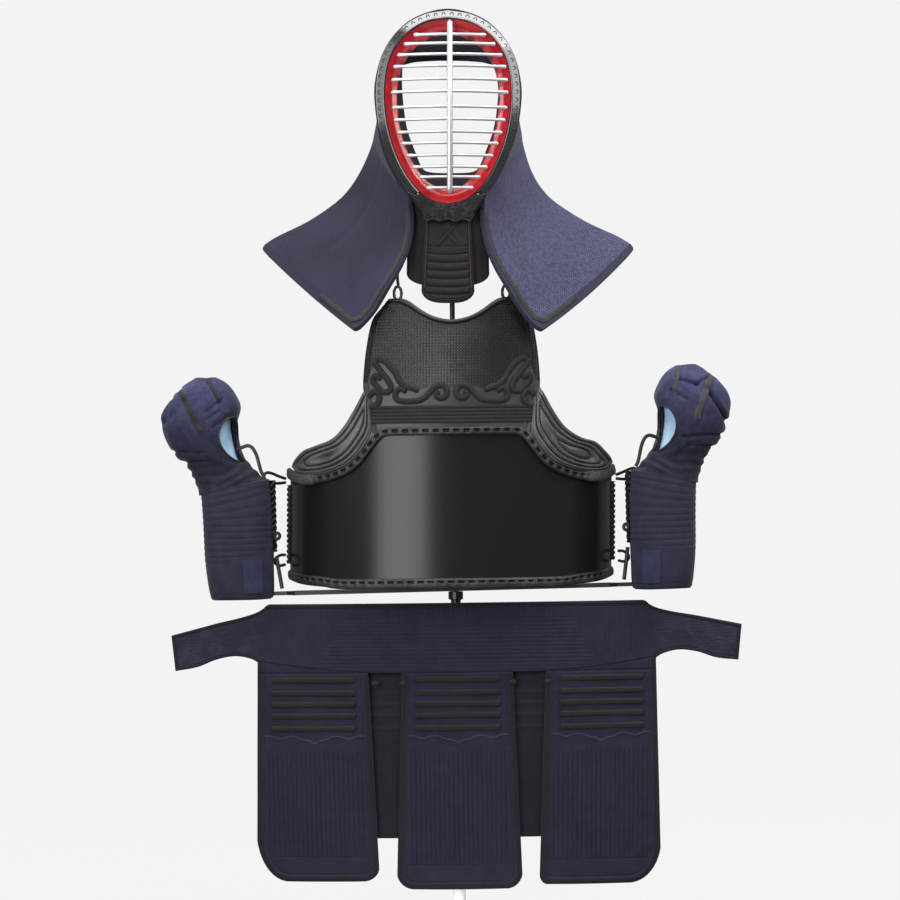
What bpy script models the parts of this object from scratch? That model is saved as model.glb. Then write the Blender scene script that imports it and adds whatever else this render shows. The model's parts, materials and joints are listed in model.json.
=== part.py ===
"""Kendo armour on its display stand: men (helmet), do (chest), two kote (gauntlets) and tare (waist).

Metres, +Z up. The armour faces -Y, and "left" is -X. The origin is the middle of the base plate's underside.
Tables are in millimetres, one row for each section or fold, and every curved wall is a grid of points with a
thickness. What lies on a wall is made from that wall's own points, moved out.
"""

from math import cos, pi, radians, sin

import bmesh
import bpy
import numpy as np
from mathutils import Matrix

MM = 0.001
SEAM = 0.0004  # gap kept between pieces that touch
SIDES = (("left", -1), ("right", 1))

# Stand
BASE_SIZE = (0.300, 0.240, 0.008)
BASE_CORNER = 0.030
POST_RADIUS = 0.007
ROD_RADIUS = 0.0036
SHELF_HEIGHT = 0.507  # top face, at the upright
SHELF_THICK = 0.005
SHELF_LEAN = radians(0.8)  # the shelf and the kote on it lean, right side up
TARE_BAR_HEIGHT = 0.438
YOKE_HEIGHT = 0.990
YOKE_HALF = 0.0745
HEAD_REST_RADIUS = 0.019
HEAD_REST_HEIGHT = 1.284
COLUMN_TOP = 0.424  # the pale column carries the black upright behind the belt

# Men
MEN_PIVOT = 1.200  # height about which the helmet sits slightly turned
MEN_TURN = radians(0.7)
MEN_X = -0.0025
MEN_CLOTH = 0.007
HEM_SAG = 0.0165  # how far the flaps' hems are pulled down between their corners
HEM_SAG_LEAN = 0.21  # share by which the right hem is pulled further, and the left one less
SHOULDER_SHIFT = -0.0036  # the cloth's shoulders sit a little to one side
SHOULDER_Z, SHOULDER_REACH = 1.085, 0.095
GRILLE_X = 0.0026
FACE_FRONT = -0.055  # plane where cloth and lacquered rim meet
GRILLE_BULGE = 0.020
BAR_RADIUS = 0.0024

# Do
DO_HALF_WIDTH = 0.236
DO_DEPTH = 0.165
DO_SIDE_Y = 0.084
DO_X = -0.007  # at its lower edge
DO_LEAN = 0.016  # sideways shift for each metre of height
DO_FOOT = 0.510
BARREL_WALL = 0.0035
CHEST_BOTTOM = 0.727
LOOP_X, LOOP_Z = 0.0760, 0.9257

# Kote
KOTE_X = 0.300  # centre of each cuff, either side of SHELF_X
SHELF_X = -0.005
KOTE_DROP = 0.003  # the fist tables' zero lies this far below the shelf's top
KOTE_WIDE = {"left": 1.0, "right": 0.95}  # the right one is turned a little more edge-on
KOTE_WALL = 0.008
CUFF_WALL = 0.006
CUFF_BOTTOM = -0.006  # below the shelf's top
CUFF_TOP = 0.143
CUFF_TOP_SLANT = 0.020
SLIT_HALF_ANGLE = radians(15)

# Tare
TARE_X = 0.0005
TARE_FRONT = -0.0280
TARE_CURVE = 0.018  # how far the belt falls back at TARE_HALF
TARE_HALF = 0.280
BELT_THICK = 0.012
PANEL_THICK = 0.009
INNER_THICK = 0.0075
BELT_TOP = 0.4855
BELT_BOTTOM = 0.3870
STRAP_TIP_LIFT = 0.0035  # right tip raised and left tip lowered
INNER_BOTTOM = 0.151

# The face opening's outline: height, half width.
FACE_OUTLINE = [
    (1050, 0),
    (1054, 20),
    (1066, 39),
    (1090, 58),
    (1120, 73),
    (1152, 83),
    (1185, 88),
    (1215, 88.5),
    (1245, 84),
    (1270, 73),
    (1291, 54),
    (1305, 29),
    (1310, 0),
]
# Grille bars from the top down: height, half length.
BAR_ROWS = [
    (1287, 51.5),
    (1274, 65),
    (1258.5, 74.5),
    (1242, 80),
    (1223.5, 82.5),
    (1206, 83),
    (1184.5, 81.5),
    (1167, 79),
    (1149.5, 74.5),
    (1134, 69),
    (1117, 61.5),
    (1101, 53.5),
    (1087, 43.5),
    (1072, 33.5),
]
# Men cloth, from the front corner of a flap up to the crown: front x, y, z, rear x, y, z, bulge outward.
CLOTH_SECTIONS = [
    (130, -102, 869, 274, 90, 999, 6),
    (105, -98, 896, 250, 93, 1015, 8),
    (85, -93, 930, 203, 97, 1038, 9),
    (69, -84, 958, 161, 100, 1066, 9),
    (58, -74, 986, 140, 103, 1088, 8),
    (52, -62, 1020, 124, 108, 1116, 7),
    (55, -55, 1062, 112, 114, 1150, 5),
    (66, -53, 1079, 108, 118, 1172, 6),
    (82, -53, 1108, 103, 120, 1196, 4),
    (95, -53, 1142, 96, 120, 1218, 4),
    (103, -53, 1196, 86, 120, 1246, 5),
    (101, -53, 1230, 74, 120, 1271, 6),
    (91, -52, 1264, 56, 120, 1279, 7),
    (72, -52, 1293, 37, 120, 1281, 8),
    (43, -52, 1315, 19, 120, 1281.5, 9),
    (0, -52, 1325.5, 0, 120, 1281.5, 10),
]
# Chest plate: height, half width.
CHEST_SIDES = [
    (727, 110),
    (748, 115),
    (766, 118),
    (790, 123),
    (814, 122.5),
    (851, 118.5),
    (886, 111),
    (904, 98),
    (915, 88),
]
# Chest plate's neck line: distance from the middle, height.
CHEST_NECK = [(0, 886), (17, 889.5), (35, 899), (53, 910), (70, 916.5), (88, 916.5)]
# Lower edge of the laced top rim: distance from the middle, height.
RIM_LINE = [
    (0, 724),
    (60, 724),
    (90, 723.5),
    (101, 717),
    (115, 698.5),
    (131, 680.4),
    (151, 668),
    (176, 660),
    (202, 658),
    (223, 662),
    (233, 667),
]
RIM_WIDTH = 0.0115
# Barrel's lower edge: distance from the middle, height.
HEM_LINE = [(0, 509), (80, 508.5), (156, 508), (180, 510.6), (200, 511.8), (218, 514), (233, 518.5)]
HEM_WIDTH = 0.0145
# Shoulder pad's inner edge, down the chest plate's side and along the top rim: distance from the middle, height.
PAD_INNER = [
    (119, 774),
    (115.5, 756),
    (112.5, 732),
    (120.2, 713.8),
    (137, 692.5),
    (155.3, 680.5),
    (180, 672.8),
    (205, 671.4),
    (219, 674.8),
]
# Shoulder pads' outer edges.
PAD_OUTER = {
    "left": [
        (125.5, 790),
        (129, 779),
        (137, 759),
        (150.5, 737),
        (167, 720.5),
        (191, 711),
        (207.5, 704.5),
        (220, 692),
        (225, 682),
    ],
    "right": [
        (126.5, 792),
        (132.5, 779),
        (142, 757),
        (158, 734.5),
        (180, 719.5),
        (202, 712.5),
        (216, 700),
        (225.5, 689),
        (228, 681),
    ],
}
# Fist: height above the shelf, inner x, outer x, half depth, all from the cuff's middle.
FIST_SECTIONS = [
    (150, -43, 58, 40),
    (165, -37, 63, 38),
    (182, -19, 70, 37),
    (198, -6, 88, 44),
    (219, 0, 101, 50),
    (244, 0, 108, 53),
    (268, -4, 104, 51),
    (288, 3, 89, 44),
    (302, 15, 73, 31),
    (311, 29, 59, 15),
]
# Cuff: height above the shelf, inner x, outer x, half depth.
CUFF_SECTIONS = [
    (-6, -43, 43, 38),
    (4, -46, 47, 42),
    (40, -47, 51, 43),
    (95, -47, 53, 43),
    (120, -46, 54, 42),
    (144, -44, 55, 41),
]
# Belt strap, from the belt outward: x, top z, bottom z.
STRAP_ROWS = [
    (284, 482, 402),
    (297, 474, 409),
    (320, 467, 413),
    (347, 461, 409),
    (376, 453.5, 399),
    (409, 445, 394),
]
# Large panels: side, bottom z, left and right x at the top, left and right x at the bottom, then the width and
# height of the left and the right lower corner's curve.
PANELS = [
    ("left", 0.0915, -0.2845, -0.1265, -0.2880, -0.1140, 0.045, 0.072, 0.022, 0.020),
    ("centre", 0.0796, -0.0795, 0.0795, -0.0885, 0.0895, 0.024, 0.024, 0.022, 0.024),
    ("right", 0.0842, 0.1265, 0.2840, 0.1140, 0.2875, 0.011, 0.014, 0.046, 0.060),
]


def clear_scene():
    for thing in list(bpy.data.objects):
        bpy.data.objects.remove(thing, do_unlink=True)


def finish(name, colour, roughness, metallic=0.0):
    """A Principled material in the piece's colour."""
    made = bpy.data.materials.new(name)
    made.use_nodes = True
    shader = made.node_tree.nodes["Principled BSDF"]
    shader.inputs["Base Color"].default_value = (*colour, 1)
    shader.inputs["Roughness"].default_value = roughness
    shader.inputs["Metallic"].default_value = metallic
    return made


def place(name, mesh, material, parent=None):
    """Turns the mesh's faces outward and puts it in the scene as a named object."""
    shape = bmesh.new()
    shape.from_mesh(mesh)
    bmesh.ops.recalc_face_normals(shape, faces=shape.faces)
    shape.to_mesh(mesh)
    shape.free()
    mesh.shade_smooth()
    mesh.set_sharp_from_angle(angle=radians(50))
    mesh.materials.append(material)
    made = bpy.data.objects.new(name, mesh)
    bpy.context.scene.collection.objects.link(made)
    made.parent = parent
    return made


def smooth(rows, count):
    """count points on a smooth curve through the rows (Catmull-Rom), evenly spaced along it."""
    rows = np.array(rows, float)
    ends = np.vstack([2 * rows[0] - rows[1], rows, 2 * rows[-1] - rows[-2]])
    place_on = np.linspace(0, len(rows) - 1, 24 * len(rows))
    first = np.minimum(place_on.astype(int), len(rows) - 2)
    t = (place_on - first)[:, None]
    a, b, c, d = (ends[first + step] for step in range(4))
    curve = 0.5 * (
        2 * b + (c - a) * t + (2 * a - 5 * b + 4 * c - d) * t**2 + (3 * b - a - 3 * c + d) * t**3
    )
    length = np.append(0, np.cumsum(np.linalg.norm(np.diff(curve, axis=0), axis=1)))
    even = np.linspace(0, length[-1], count)
    return np.stack([np.interp(even, length, column) for column in curve.T], axis=1)


def normals(grid, ring=False):
    """Unit normals of a grid of points (rows, columns, 3); the columns of a ring meet."""
    down = np.gradient(grid, axis=0)
    if ring:
        along = np.roll(grid, -1, axis=1) - np.roll(grid, 1, axis=1)
    else:
        along = np.gradient(grid, axis=1)
    found = np.cross(down, along)
    return found / np.linalg.norm(found, axis=2, keepdims=True)


def wall(name, outer, inner, material, ring=False, cap=False, parent=None):
    """The closed solid between two grids. A cap closes the last row of each across its middle."""
    rows, columns = outer.shape[:2]
    index = np.arange(rows * columns).reshape(rows, columns)
    if ring:
        index = np.hstack([index, index[:, :1]])
    far = index + rows * columns
    faces = []
    for sheet in (index, far):
        quads = np.stack([sheet[:-1, :-1], sheet[1:, :-1], sheet[1:, 1:], sheet[:-1, 1:]], axis=-1)
        faces += quads.reshape(-1, 4).tolist()
    edges = [(index[0], far[0])]
    if cap:
        faces += [index[-1, :columns].tolist(), far[-1, :columns].tolist()]
    else:
        edges.append((index[-1], far[-1]))
    if not ring:
        edges += [(index[:, 0], far[:, 0]), (index[:, -1], far[:, -1])]
    for near, back in edges:
        strip = np.stack([near[:-1], near[1:], back[1:], back[:-1]], axis=-1)
        faces += strip.tolist()
    mesh = bpy.data.meshes.new(name)
    mesh.from_pydata(np.vstack([outer.reshape(-1, 3), inner.reshape(-1, 3)]).tolist(), [], faces)
    return place(name, mesh, material, parent)


def slab(name, grid, out, low, high, material, ring=False, cap=False, parent=None):
    """A wall on a grid: from low to high above it along the normals out, which may vary over the grid."""
    low = np.broadcast_to(low, grid.shape[:2])[..., None]
    high = np.broadcast_to(high, grid.shape[:2])[..., None]
    return wall(name, grid + out * high, grid + out * low, material, ring, cap, parent)


def sweep(name, path, out, section, material, closed=False, parent=None):
    """A solid of constant section along a path. The section's points are (across, along the normal out)."""
    if closed:
        ahead = np.roll(path, -1, axis=0) - np.roll(path, 1, axis=0)
    else:
        ahead = np.gradient(path, axis=0)
    across = np.cross(out, ahead)
    across /= np.linalg.norm(across, axis=1, keepdims=True)
    rings = np.stack([path + across * side + out * up for side, up in section], axis=1)
    count, sides = rings.shape[:2]
    index = np.arange(count * sides).reshape(count, sides)
    index = np.hstack([index, index[:, :1]])
    if closed:
        index = np.vstack([index, index[:1]])
    quads = np.stack([index[:-1, :-1], index[1:, :-1], index[1:, 1:], index[:-1, 1:]], axis=-1)
    faces = quads.reshape(-1, 4).tolist()
    if not closed:
        faces += [index[0, :sides].tolist(), index[-1, :sides].tolist()]
    mesh = bpy.data.meshes.new(name)
    mesh.from_pydata(rings.reshape(-1, 3).tolist(), [], faces)
    return place(name, mesh, material, parent)


def crowned(width, low, high):
    """A strip's section: flat below at low, rounded above to high."""
    half = width / 2
    shoulder = low + 0.55 * (high - low)
    return [(-half, low), (half, low), (half, shoulder), (0.5 * half, high), (-0.5 * half, high), (-half, shoulder)]


def tube(name, route, radius, spacing, material, parent=None):
    """A cord: a bevelled curve along a smooth line through the route's points, ends closed."""
    route = np.array(route, float)
    length = np.linalg.norm(np.diff(route, axis=0), axis=1).sum()
    points = smooth(route, max(5, int(round(length / spacing)) + 1))
    curve = bpy.data.curves.new(name, "CURVE")
    curve.dimensions = "3D"
    curve.bevel_depth = radius
    curve.bevel_resolution = 2
    curve.use_fill_caps = True
    line = curve.splines.new("POLY")
    line.points.add(len(points) - 1)
    for point, spot in zip(line.points, points):
        point.co = (*spot, 1)
    curve.materials.append(material)
    made = bpy.data.objects.new(name, curve)
    bpy.context.scene.collection.objects.link(made)
    made.parent = parent
    return made


def turned(name, profile, sides, material, centre=(0, 0), parent=None):
    """A turned solid: profile rows are (radius, height), from the bottom up."""
    angle = np.arange(sides) * 2 * pi / sides
    rings = [
        np.stack([centre[0] + r * np.cos(angle), centre[1] + r * np.sin(angle), np.full(sides, z)], axis=1)
        for r, z in profile
    ]
    index = np.arange(len(profile) * sides).reshape(-1, sides)
    index = np.hstack([index, index[:, :1]])
    quads = np.stack([index[:-1, :-1], index[1:, :-1], index[1:, 1:], index[:-1, 1:]], axis=-1)
    faces = quads.reshape(-1, 4).tolist() + [index[0, :sides].tolist(), index[-1, :sides].tolist()]
    mesh = bpy.data.meshes.new(name)
    mesh.from_pydata(np.vstack(rings).tolist(), [], faces)
    return place(name, mesh, material, parent)


def plate(name, outline, low, high, material, parent=None):
    """An upright prism on a flat outline of (x, y) points."""
    grid = np.array(outline, float)
    count = len(grid)
    mesh = bpy.data.meshes.new(name)
    points = [(x, y, low) for x, y in grid] + [(x, y, high) for x, y in grid]
    faces = [list(range(count)), list(range(count, 2 * count))]
    faces += [[i, (i + 1) % count, count + (i + 1) % count, count + i] for i in range(count)]
    mesh.from_pydata(points, [], faces)
    return place(name, mesh, material, parent)


def combine(target, tools, operation):
    """Boolean of the target with each tool; the tools stay as hidden guides."""
    for tool in tools:
        step = target.modifiers.new(tool.name, "BOOLEAN")
        step.operation = operation
        step.solver = "EXACT"
        step.object = tool
        tool.hide_render = True
        tool.display_type = "WIRE"


def empty(name, location, turn):
    """A frame that its children lean with: turn is about the Y axis."""
    made = bpy.data.objects.new(name, None)
    bpy.context.scene.collection.objects.link(made)
    made.location = location
    made.rotation_euler = (0, turn, 0)
    return made


# ---------------------------------------------------------------- stand


def build_stand(metal, pale, lean):
    """Base, column, upright, shelf with two pegs, belt bar, yoke and head rest."""
    width, depth, thick = BASE_SIZE
    quarter = np.linspace(0, pi / 2, 6)
    outline = []
    for turn, (sx, sy) in enumerate([(1, 1), (-1, 1), (-1, -1), (1, -1)]):
        for angle in quarter + turn * pi / 2:
            outline.append(
                (
                    sx * (width / 2 - BASE_CORNER) + BASE_CORNER * cos(angle),
                    sy * (depth / 2 - BASE_CORNER) + BASE_CORNER * sin(angle),
                )
            )
    plate("stand_base", outline, 0, thick, pale)
    foot = [(0.024, thick + SEAM), (0.024, thick + 0.006), (0.009, thick + 0.014), (0.009, COLUMN_TOP)]
    turned("stand_column", foot, 16, pale)
    rest = HEAD_REST_RADIUS
    top = HEAD_REST_HEIGHT
    turned(
        "stand_upright",
        [
            (POST_RADIUS, COLUMN_TOP + SEAM),
            (POST_RADIUS, SHELF_HEIGHT - SHELF_THICK - 0.014),
            (0.0105, SHELF_HEIGHT - SHELF_THICK - 0.012),
            (0.0105, SHELF_HEIGHT - SHELF_THICK - 0.0015),
            (ROD_RADIUS, SHELF_HEIGHT - SHELF_THICK - 0.0010),
            (ROD_RADIUS, top),
        ],
        16,
        metal,
    )
    turned(
        "stand_head_rest",
        [
            (0.010, top + SEAM),
            (rest, top + 0.006),
            (rest * 1.02, top + 0.009),
            (rest * 0.8, top + 0.016),
            (rest * 0.4, top + 0.021),
        ],
        16,
        metal,
    )
    build_shelf(metal, lean)

    half = 0.24
    x = np.linspace(-half, half, 13)
    back = tare_y(x) + BELT_THICK + SEAM
    grid = np.stack(
        [np.stack([x + TARE_X, back, np.full_like(x, TARE_BAR_HEIGHT + z)], axis=1) for z in (-0.011, 0.011)]
    )
    inner = grid + np.array([0, 0.0072, 0])
    wall("stand_tare_bar", grid, inner, metal)

    yoke = [(x, y) for x, y in ((-YOKE_HALF, 0.0042), (YOKE_HALF, 0.0042), (YOKE_HALF, 0.0112), (-YOKE_HALF, 0.0112))]
    plate("stand_yoke", yoke, YOKE_HEIGHT - 0.006, YOKE_HEIGHT + 0.006, metal)


def build_shelf(metal, lean):
    """The shelf narrows where it enters the cuffs' slits and ends in a peg inside each fist."""
    wide, narrow, shoulder = 0.018, 0.008, 0.236
    end = KOTE_X + 0.032
    right = [(shoulder - 0.012, wide), (shoulder, narrow), (end, narrow)]
    outline = [(x, -y) for x, y in right] + [(x, y) for x, y in reversed(right)]
    outline += [(-x, -y) for x, y in ((a, -b) for a, b in right)]
    outline += [(-x, -y) for x, y in reversed(right)]
    outline = [(x + SHELF_X, y) for x, y in outline]
    shelf = plate("stand_shelf", outline, -SHELF_THICK, 0, metal, lean)
    pegs = []
    for side, sign in SIDES:
        pegs.append(
            turned(
                f"peg_{side}",
                [(0.004, -0.003), (0.004, 0.262), (0.0015, 0.266)],
                12,
                metal,
                (SHELF_X + sign * (KOTE_X + 0.025), 0),
                lean,
            )
        )
    combine(shelf, pegs, "UNION")
    hole = turned("shelf_hole", [(ROD_RADIUS + SEAM, -0.02), (ROD_RADIUS + SEAM, 0.02)], 16, metal, (0, 0), lean)
    combine(shelf, [hole], "DIFFERENCE")


# ---------------------------------------------------------------- men


def face_outline(count, grow, depth):
    """The egg-shaped face outline as a closed loop, grown by grow, with its outward directions."""
    half = smooth([(w * MM, 0, z * MM) for z, w in FACE_OUTLINE], count // 2 + 1)
    loop = np.vstack([half, (half * [-1, 1, 1])[-2:0:-1]])
    ahead = np.roll(loop, -1, axis=0) - np.roll(loop, 1, axis=0)
    out = np.stack([ahead[:, 2], 0 * ahead[:, 0], -ahead[:, 0]], axis=1)
    out /= np.linalg.norm(out, axis=1, keepdims=True)
    return loop + out * grow + [0, depth, 0], out


def cloth_grid(columns, rows):
    """Men cloth, from one flap's corner over the crown to the other's: rows run from the front edge back."""
    half = [list(row) for row in CLOTH_SECTIONS]
    mirrored = [[-r[0], *r[1:3], -r[3], *r[4:]] for r in half[-2::-1]]
    table = smooth(np.array(half + mirrored) * MM, columns)
    front, rear, bulge = table[:, :3], table[:, 3:6], table[:, 6:]
    out = np.cross(rear - front, np.gradient(front + rear, axis=0))
    out /= np.linalg.norm(out, axis=1, keepdims=True)
    control = (front + rear) / 2 + 2 * bulge * out
    t = np.linspace(-1, 1, columns)
    control[:, 2] -= HEM_SAG * (1 - HEM_SAG_LEAN * t) * np.abs(t) ** 10
    u = np.linspace(0, 1, rows)[:, None, None]
    grid = (1 - u) ** 2 * front + 2 * u * (1 - u) * control + u**2 * rear
    near = np.clip(np.abs(grid[..., 2] - SHOULDER_Z) / SHOULDER_REACH, 0, 1)
    grid[..., 0] += SHOULDER_SHIFT * np.cos(near * pi / 2) ** 2
    return grid


def build_men(parts, frame):
    """Cloth, rim, face frame, grille, face pad, chin piece, throat flaps and edge braids."""
    grid = cloth_grid(41, 6)
    out = normals(grid)
    if out[0, 20, 2] < 0:
        out = -out
    slab("men_cloth", grid, out, -MEN_CLOTH, 0, parts["indigo"], parent=frame)

    rim, _ = face_outline(40, 0.0065, FACE_FRONT - 0.001)
    opening = 1.062
    rim = rim[rim[:, 2] > opening]
    start = np.argmax(np.linalg.norm(rim - np.roll(rim, 1, axis=0), axis=1))
    rim = np.roll(rim, -start, axis=0)
    front = np.tile([0.0, -1.0, 0.0], (len(rim), 1))
    sweep("men_rim", rim, front, crowned(0.0125, 0, 0.0085), parts["black_leather"], parent=frame)

    frame_outer, _ = face_outline(36, -0.0004, FACE_FRONT - 0.008)
    shrink = np.array([0.81, 1, 0.84])
    middle = np.array([0, 0, 1.187])
    frame_inner = (frame_outer - middle) * shrink + middle + [0, 0.020, 0]
    ring = np.stack([frame_outer, frame_inner])
    wall("men_face_frame", ring, ring + [0, 0.003, 0], parts["red_lacquer"], ring=True, parent=frame)
    build_grille(parts, frame)

    pad_outer, _ = face_outline(36, -0.0065, FACE_FRONT + 0.018)
    pad_inner = (pad_outer - middle) * [0.81, 1, 0.70] + middle + [0, 0.006, 0]
    ring = np.stack([pad_outer, (pad_outer + pad_inner) / 2 - [0, 0.004, 0], pad_inner])
    wall("men_face_pad", ring, ring + [0, 0.010, 0], parts["dark_cloth"], ring=True, parent=frame)

    x = np.linspace(-0.052, 0.052, 11)
    u = x / 0.052
    top = np.minimum(1.046 + 0.0165 * (x / 0.039) ** 2, 1.0605)
    low = 1.021 + 0.0025 * np.cos(3 * pi * u)
    rows = np.linspace(0, 1, 4)[:, None]
    z = top + (low - top) * rows
    y = FACE_FRONT - 0.014 + 0.003 * u**2 - 0.004 * rows
    grid = np.stack([np.broadcast_to(x, z.shape), y, z], axis=2)
    wall("men_chin_piece", grid, grid + [0, 0.0035, 0], parts["black_leather"], parent=frame)

    throat = (("outer", 0.031, 0.0375, 0.910, FACE_FRONT - 0.003), ("inner", 0.044, 0.057, 0.934, FACE_FRONT + 0.011))
    for which, top_half, low_half, bottom, front in throat:
        grid = flap_grid(top_half, low_half, 1.040, bottom, front, 0.006, 7, 7)
        wall(f"men_throat_flap_{which}", grid, grid + [0, 0.008, 0], parts["dark_cloth"], parent=frame)

    surface = cloth_grid(81, 6)
    along = normals(surface)
    if along[0, 40, 2] < 0:
        along = -along
    for side, sign in SIDES:
        columns = np.arange(16, 1, -2) if sign > 0 else np.arange(64, 79, 2)
        line = 0.955 * surface[0, columns] + 0.045 * surface[1, columns]
        sweep(f"men_braid_{side}", line, along[0, columns], crowned(0.007, 0.0012, 0.0036), parts["braid"], parent=frame)


def flap_grid(top_half, low_half, top, bottom, front, sag, rows, columns):
    """A hanging flap with a rounded lower end, its middle sag forward of its sides."""
    u = np.linspace(-1, 1, columns)
    v = np.linspace(0, 1, rows)[:, None]
    low = bottom + 0.020 * (1 - np.sqrt(1 - 0.98 * np.abs(u) ** 3))
    z = top + (low - top) * v
    x = u * (top_half + (low_half - top_half) * v)
    y = front + sag * (u**2 - 1) * np.ones_like(v)
    return np.stack([x, y, z], axis=2)


def build_grille(parts, frame):
    """One upright bar and fourteen cross bars, bowed forward, welded where they cross."""
    centre, rise = 1.187, 0.130
    upright = []
    for z in np.linspace(centre - rise + 0.012, centre + rise - 0.012, 13):
        bow = 1 - ((z - centre) / rise) ** 2
        upright.append((GRILLE_X, FACE_FRONT - 0.0100 - GRILLE_BULGE * bow, z))
    upright = np.array(upright)
    section = [(0.004 * cos(a), 0.0032 * sin(a)) for a in np.arange(6) * pi / 3]
    ahead = np.gradient(upright, axis=0)
    out = np.cross(ahead, [1.0, 0, 0])
    out /= -np.linalg.norm(out, axis=1, keepdims=True)
    grille = sweep("men_grille", upright, out, section, parts["bar_metal"], parent=frame)
    cross = [(BAR_RADIUS * cos(a), BAR_RADIUS * sin(a)) for a in (np.arange(6) + 0.5) * pi / 3]
    made = []
    for number, (z, half) in enumerate(np.array(BAR_ROWS) * MM):
        bow = 1 - ((z - centre) / rise) ** 2
        x = np.linspace(-half, half, 5)
        y = FACE_FRONT - 0.0090 - GRILLE_BULGE * bow * (1 - (x / half) ** 2)
        line = np.stack([x + GRILLE_X, y, np.full_like(x, z)], axis=1)
        up = np.tile([0.0, 0.0, 1.0], (len(line), 1))
        made.append(sweep(f"bar_{number}", line, up, cross, parts["bar_metal"], parent=frame))
    combine(grille, made, "UNION")


# ---------------------------------------------------------------- do


def do_wall(x, z):
    """Points and outward normals of the chest armour's curved front, at distances x from its middle."""
    across = np.clip(x / DO_HALF_WIDTH, -0.9995, 0.9995)
    depth = np.sqrt(1 - across**2)
    middle = DO_X + DO_LEAN * (z - DO_FOOT)
    points = np.stack([x + middle, DO_SIDE_Y - DO_DEPTH * depth, z * np.ones_like(x)], axis=-1)
    out = np.stack([across / DO_HALF_WIDTH, -depth / DO_DEPTH, 0 * z * x], axis=-1)
    return points, out / np.linalg.norm(out, axis=-1, keepdims=True)


def both_ways(rows, count):
    """A smooth line through the rows and their mirror image, from -x to +x, in metres."""
    half = [(x * MM, z * MM) for x, z in rows]
    return smooth([(-x, z) for x, z in half[:0:-1]] + half, count)


def build_do(parts):
    """Barrel, chest plate, ridged band, shoulder pads, rims, side lacing and loops."""
    line = both_ways(RIM_LINE, 37)
    hem = both_ways(HEM_LINE, 200)
    bottom = np.interp(line[:, 0], hem[:, 0], hem[:, 1])
    rows = np.linspace(0, 1, 4)[:, None]
    z = bottom + (line[:, 1] - bottom) * rows
    points, out = do_wall(np.broadcast_to(line[:, 0], z.shape), z)
    slab("do_barrel", points, out, -BARREL_WALL, 0, parts["black_lacquer"])

    ahead = np.gradient(line, axis=0)
    up = np.stack([-ahead[:, 1], ahead[:, 0]], axis=1)
    up /= np.linalg.norm(up, axis=1, keepdims=True)
    middle = line + up * (RIM_WIDTH / 2)
    points, out = do_wall(middle[:, 0], middle[:, 1])
    sweep("do_top_rim", points, out, crowned(RIM_WIDTH, SEAM + 0.0036, 0.0075), parts["black_leather"])

    hem = both_ways(HEM_LINE, 41)
    points, out = do_wall(hem[:, 0], hem[:, 1] + HEM_WIDTH / 2)
    sweep("do_bottom_rim", points, out, crowned(HEM_WIDTH, 0.0008, 0.0045), parts["black_leather"])

    neck = both_ways(CHEST_NECK, 15)
    sides = smooth([(z * MM, w * MM) for z, w in CHEST_SIDES], 100)
    v = np.linspace(0, 1, 7)[:, None]
    z = CHEST_BOTTOM + (neck[:, 1] - CHEST_BOTTOM) * v
    share = neck[:, 0] / neck[-1, 0]
    x = share * np.interp(z, sides[:, 0], sides[:, 1])
    points, out = do_wall(x, z)
    slab("do_chest", points, out, 0, 0.0034, parts["chest_leather"])

    ridges = 5
    v = np.linspace(0, 1, 2 * ridges + 1)[:, None]
    x = np.linspace(-0.1115, 0.1115, 13) * np.ones_like(v)
    points, out = do_wall(x, 0.741 + 0.025 * v)
    lift = np.where(np.arange(2 * ridges + 1) % 2, 0.0075, 0.0048)[:, None]
    slab("do_ridge_band", points, out, 0.0034 + SEAM, lift, parts["black_leather"])

    for side, sign in SIDES:
        table = smooth(np.hstack([PAD_OUTER[side], PAD_INNER]) * MM, 11)
        v = np.linspace(0, 1, 9)[:, None]
        x = sign * (table[:, 2] + (table[:, 0] - table[:, 2]) * v)
        z = table[:, 3] + (table[:, 1] - table[:, 3]) * v
        points, out = do_wall(x, z)
        lift = np.where(np.arange(9) % 2, 0.0095, 0.0055)[:, None]
        slab(f"do_shoulder_pad_{side}", points, out, 0.0034 + SEAM, lift, parts["black_leather"])

        z = np.linspace(0.541, 0.655, 9)
        x = np.full_like(z, sign * 0.2335)
        points, out = do_wall(x, z)
        sweep(f"do_side_lacing_{side}", points, out, crowned(0.012, SEAM, 0.004), parts["braid"])

        at, _ = do_wall(np.array([sign * LOOP_X]), np.array([LOOP_Z]))
        ring = [(0.0055 * cos(a), 0, 0.0055 * sin(a)) for a in np.arange(12) * pi / 6]
        ring = np.array(ring) + at[0] + [0, -0.001, 0]
        flat = np.tile([0.0, 1.0, 0.0], (12, 1))
        loop = [(0.0022 * cos(a), 0.003 * sin(a)) for a in np.arange(6) * pi / 3]
        sweep(f"do_loop_{side}", ring, flat, loop, parts["black_leather"], closed=True)


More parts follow.
